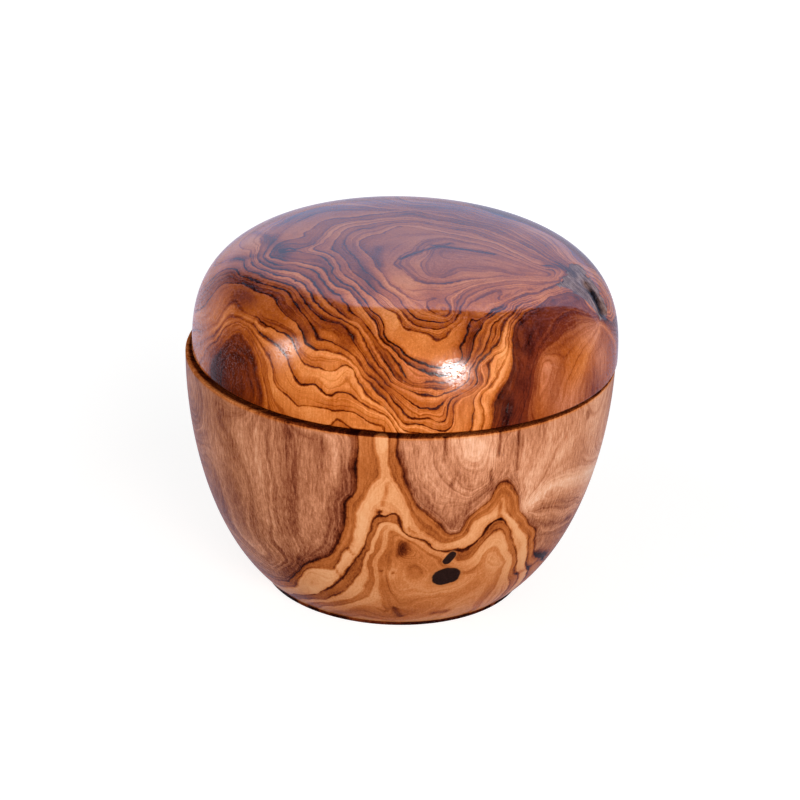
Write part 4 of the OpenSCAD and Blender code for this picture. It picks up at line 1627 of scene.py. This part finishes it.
@dataclass(frozen=True)
class Studio:
    """A white table in a dim room, a tall pale window behind the keeper and two soft lamps in front."""

    lamps: tuple[Lamp, ...] = (
        Lamp("front_lamp", 160.0, 17.0, 0.9, 0.45, 6.0, "#fff4ee"),
        Lamp("left_lamp", -105.0, 14.0, 1.0, 0.5, 2.1, "#fff6f2"),
    )
    glows: tuple[Glow, ...] = (
        Glow(153.0, 25.0, 0.24, 0.75, 75.0), Glow(153.0, 24.0, 0.5, 1.2, 4.5),
        Glow(-111.0, 23.5, 0.28, 0.75, 15.0), Glow(-42.0, -14.0, 0.6, 0.5, 0.4),
    )
    window_left: float = -0.62
    window_right: float = 1.3
    window_top: float = 2.9
    window_colour: str = "#bacfff"
    window_low: float = 1.25
    window_high: float = 3.8
    room: float = 0.03
    haze: float = 0.8
    haze_colour: str = "#e2e0ff"
    sky_low: float = 1.0
    sky_high: float = 0.06
    table_size: float = 8.0
    table_lift: float = 0.8
    glow_falloff: float = 2.5

    @staticmethod
    def direction(azimuth: float, elevation: float) -> tuple[float, float, float]:
        """Unit vector at an azimuth from +Y towards +X and an elevation, in degrees."""
        turn, rise = math.radians(azimuth), math.radians(elevation)
        return (math.sin(turn) * math.cos(rise), math.cos(turn) * math.cos(rise), math.sin(rise))

    def world(self) -> None:
        """Lights the room: white to the camera, even light on dull surfaces, window and lamps in gloss."""
        world = bpy.data.worlds.new("studio_room")
        bpy.context.scene.world = world
        add = new_tree(world)
        path = add("LightPath")
        look = add("TexCoord").outputs["Generated"]
        parts = add("SeparateXYZ", look)
        across = add("Math", parts.outputs[0], parts.outputs[1], operation="DIVIDE")
        rise = add("Math", parts.outputs[2], parts.outputs[1], operation="DIVIDE")
        edges = (
            (across, self.window_left - 0.12, self.window_left + 0.08),
            (across, self.window_right + 0.015, self.window_right - 0.015),
            (rise, self.window_top + 0.06, self.window_top - 0.06), (rise, -0.02, 0.06),
            (parts.outputs[1], 0.0, 0.01),
        )
        mask = None
        for value, start, end in edges:
            step = add("MapRange", value, start, end, interpolation_type="SMOOTHSTEP")
            mask = add("Math", mask, step, operation="MULTIPLY") if mask else step
        strength = add("MapRange", rise, 0.3, 2.5, self.window_low, self.window_high)
        window = add(
            "VectorMath",
            {
                0: hex_linear(self.window_colour)[:3],
                "Scale": add("Math", mask, strength, operation="MULTIPLY"),
            },
            operation="SCALE",
        )
        haze = add(
            "MapRange", parts.outputs[2], 0.08, 0.42, self.haze, self.room, interpolation_type="SMOOTHSTEP"
        )
        behind = add("MapRange", parts.outputs[1], 0.2, 0.7, 0.04, interpolation_type="SMOOTHSTEP")
        leftward = add("MapRange", parts.outputs[0], -0.3, 0.6, 1.1, 0.7)
        for share in (behind, leftward):
            haze = add("Math", haze, share, operation="MULTIPLY")
        haze = add("VectorMath", {0: hex_linear(self.haze_colour)[:3], "Scale": haze}, operation="SCALE")
        mirrored = add("VectorMath", window, haze, operation="MAXIMUM")
        for glow in self.glows:
            offset = add(
                "VectorMath", look, self.direction(glow.azimuth, glow.elevation), operation="SUBTRACT"
            )
            offset = add(
                "VectorMath", offset, (1 / glow.width, 1 / glow.width, 1 / glow.height), operation="MULTIPLY"
            )
            spot = add(
                "MapRange", add("VectorMath", offset, operation="LENGTH").outputs["Value"], 1.0, 0.0,
                interpolation_type="SMOOTHSTEP",
            )
            spot = add("Math", spot, self.glow_falloff, operation="POWER")
            light = add("Math", spot, glow.strength, operation="MULTIPLY")
            mirrored = add("VectorMath", mirrored, light, operation="ADD")
        sky = add("MapRange", parts.outputs[2], 0.1, 0.9, self.sky_low, self.sky_high)
        seen = add(
            "Mix", {0: path.outputs["Is Glossy Ray"], 6: sky, 7: mirrored}, data_type="RGBA"
        ).outputs[2]
        white = add(
            "Math", path.outputs["Is Camera Ray"], path.outputs["Is Transmission Ray"], operation="MAXIMUM"
        )
        seen = add("Mix", {0: white, 6: seen, 7: (1.0, 1.0, 1.0, 1.0)}, data_type="RGBA").outputs[2]
        background = add("Background", {"Color": seen, "Strength": 1.0})
        add("OutputWorld", {"Surface": background})

    def table(self) -> bpy.types.Object:
        """Lays a white table that keeps a soft shadow: dull white, lifted to pure white for the camera."""
        half = self.table_size / 2
        mesh = bpy.data.meshes.new("white_table")
        mesh.from_pydata(
            [(-half, -half, 0), (half, -half, 0), (half, half, 0), (-half, half, 0)], [], [(0, 1, 2, 3)]
        )
        table = bpy.data.objects.new("white_table", mesh)
        table.visible_glossy = False
        bpy.context.scene.collection.objects.link(table)
        material = bpy.data.materials.new("white_table_board")
        add = new_tree(material)
        path = add("LightPath")
        dull = add("BsdfDiffuse", {"Color": (0.4, 0.4, 0.4, 1.0)})
        away = add("VectorMath", add("TexCoord").outputs["Object"], operation="LENGTH").outputs["Value"]
        level = add("MapRange", away, 0.1, 0.4, self.table_lift, 1.0)
        lift = add("Math", path.outputs["Is Camera Ray"], level, operation="MULTIPLY")
        glow = add("Emission", {"Color": (1.0, 1.0, 1.0, 1.0), "Strength": lift})
        both = add("AddShader", dull, glow)
        add("OutputMaterial", {"Surface": both})
        mesh.materials.append(material)
        return table

    def light(self) -> None:
        """Hangs the lamps, each turned to the middle of the keeper."""
        for lamp in self.lamps:
            data = bpy.data.lights.new(lamp.name, "AREA")
            data.shape, data.size, data.energy = "DISK", lamp.size, lamp.watts
            data.color = hex_linear(lamp.colour)[:3]
            stand = bpy.data.objects.new(lamp.name, data)
            way = np.array(self.direction(lamp.azimuth, lamp.elevation))
            side = np.cross([0, 0, 1], way)
            side /= np.linalg.norm(side)
            matrix = np.eye(4)
            matrix[:3, 0], matrix[:3, 1], matrix[:3, 2] = side, np.cross(way, side), way
            matrix[:3, 3] = way * lamp.distance + [0, 0, 0.05]
            stand.matrix_world = Matrix(matrix)
            stand.visible_glossy = False
            bpy.context.scene.collection.objects.link(stand)


def main() -> None:
    """Builds the keeper round its frame, dresses it and sets up the studio."""
    logging.basicConfig(level=logging.INFO, format="%(name)s %(message)s")
    camera = PhotoCamera()
    camera.place()
    for maker in (Bowl(), Lid()):
        piece = maker.build(camera)
        log.info("%s: %d vertices, %d faces", piece.name, len(piece.data.vertices), len(piece.data.polygons))
    for piece in SwivelAndCatch().dress():
        log.info("%s: %s", piece.name, piece.data.materials[0].name)
    studio = Studio()
    studio.world()
    studio.table()
    studio.light()
    bpy.context.scene.view_settings.view_transform = "Standard"


if __name__ == "__main__":
    main()
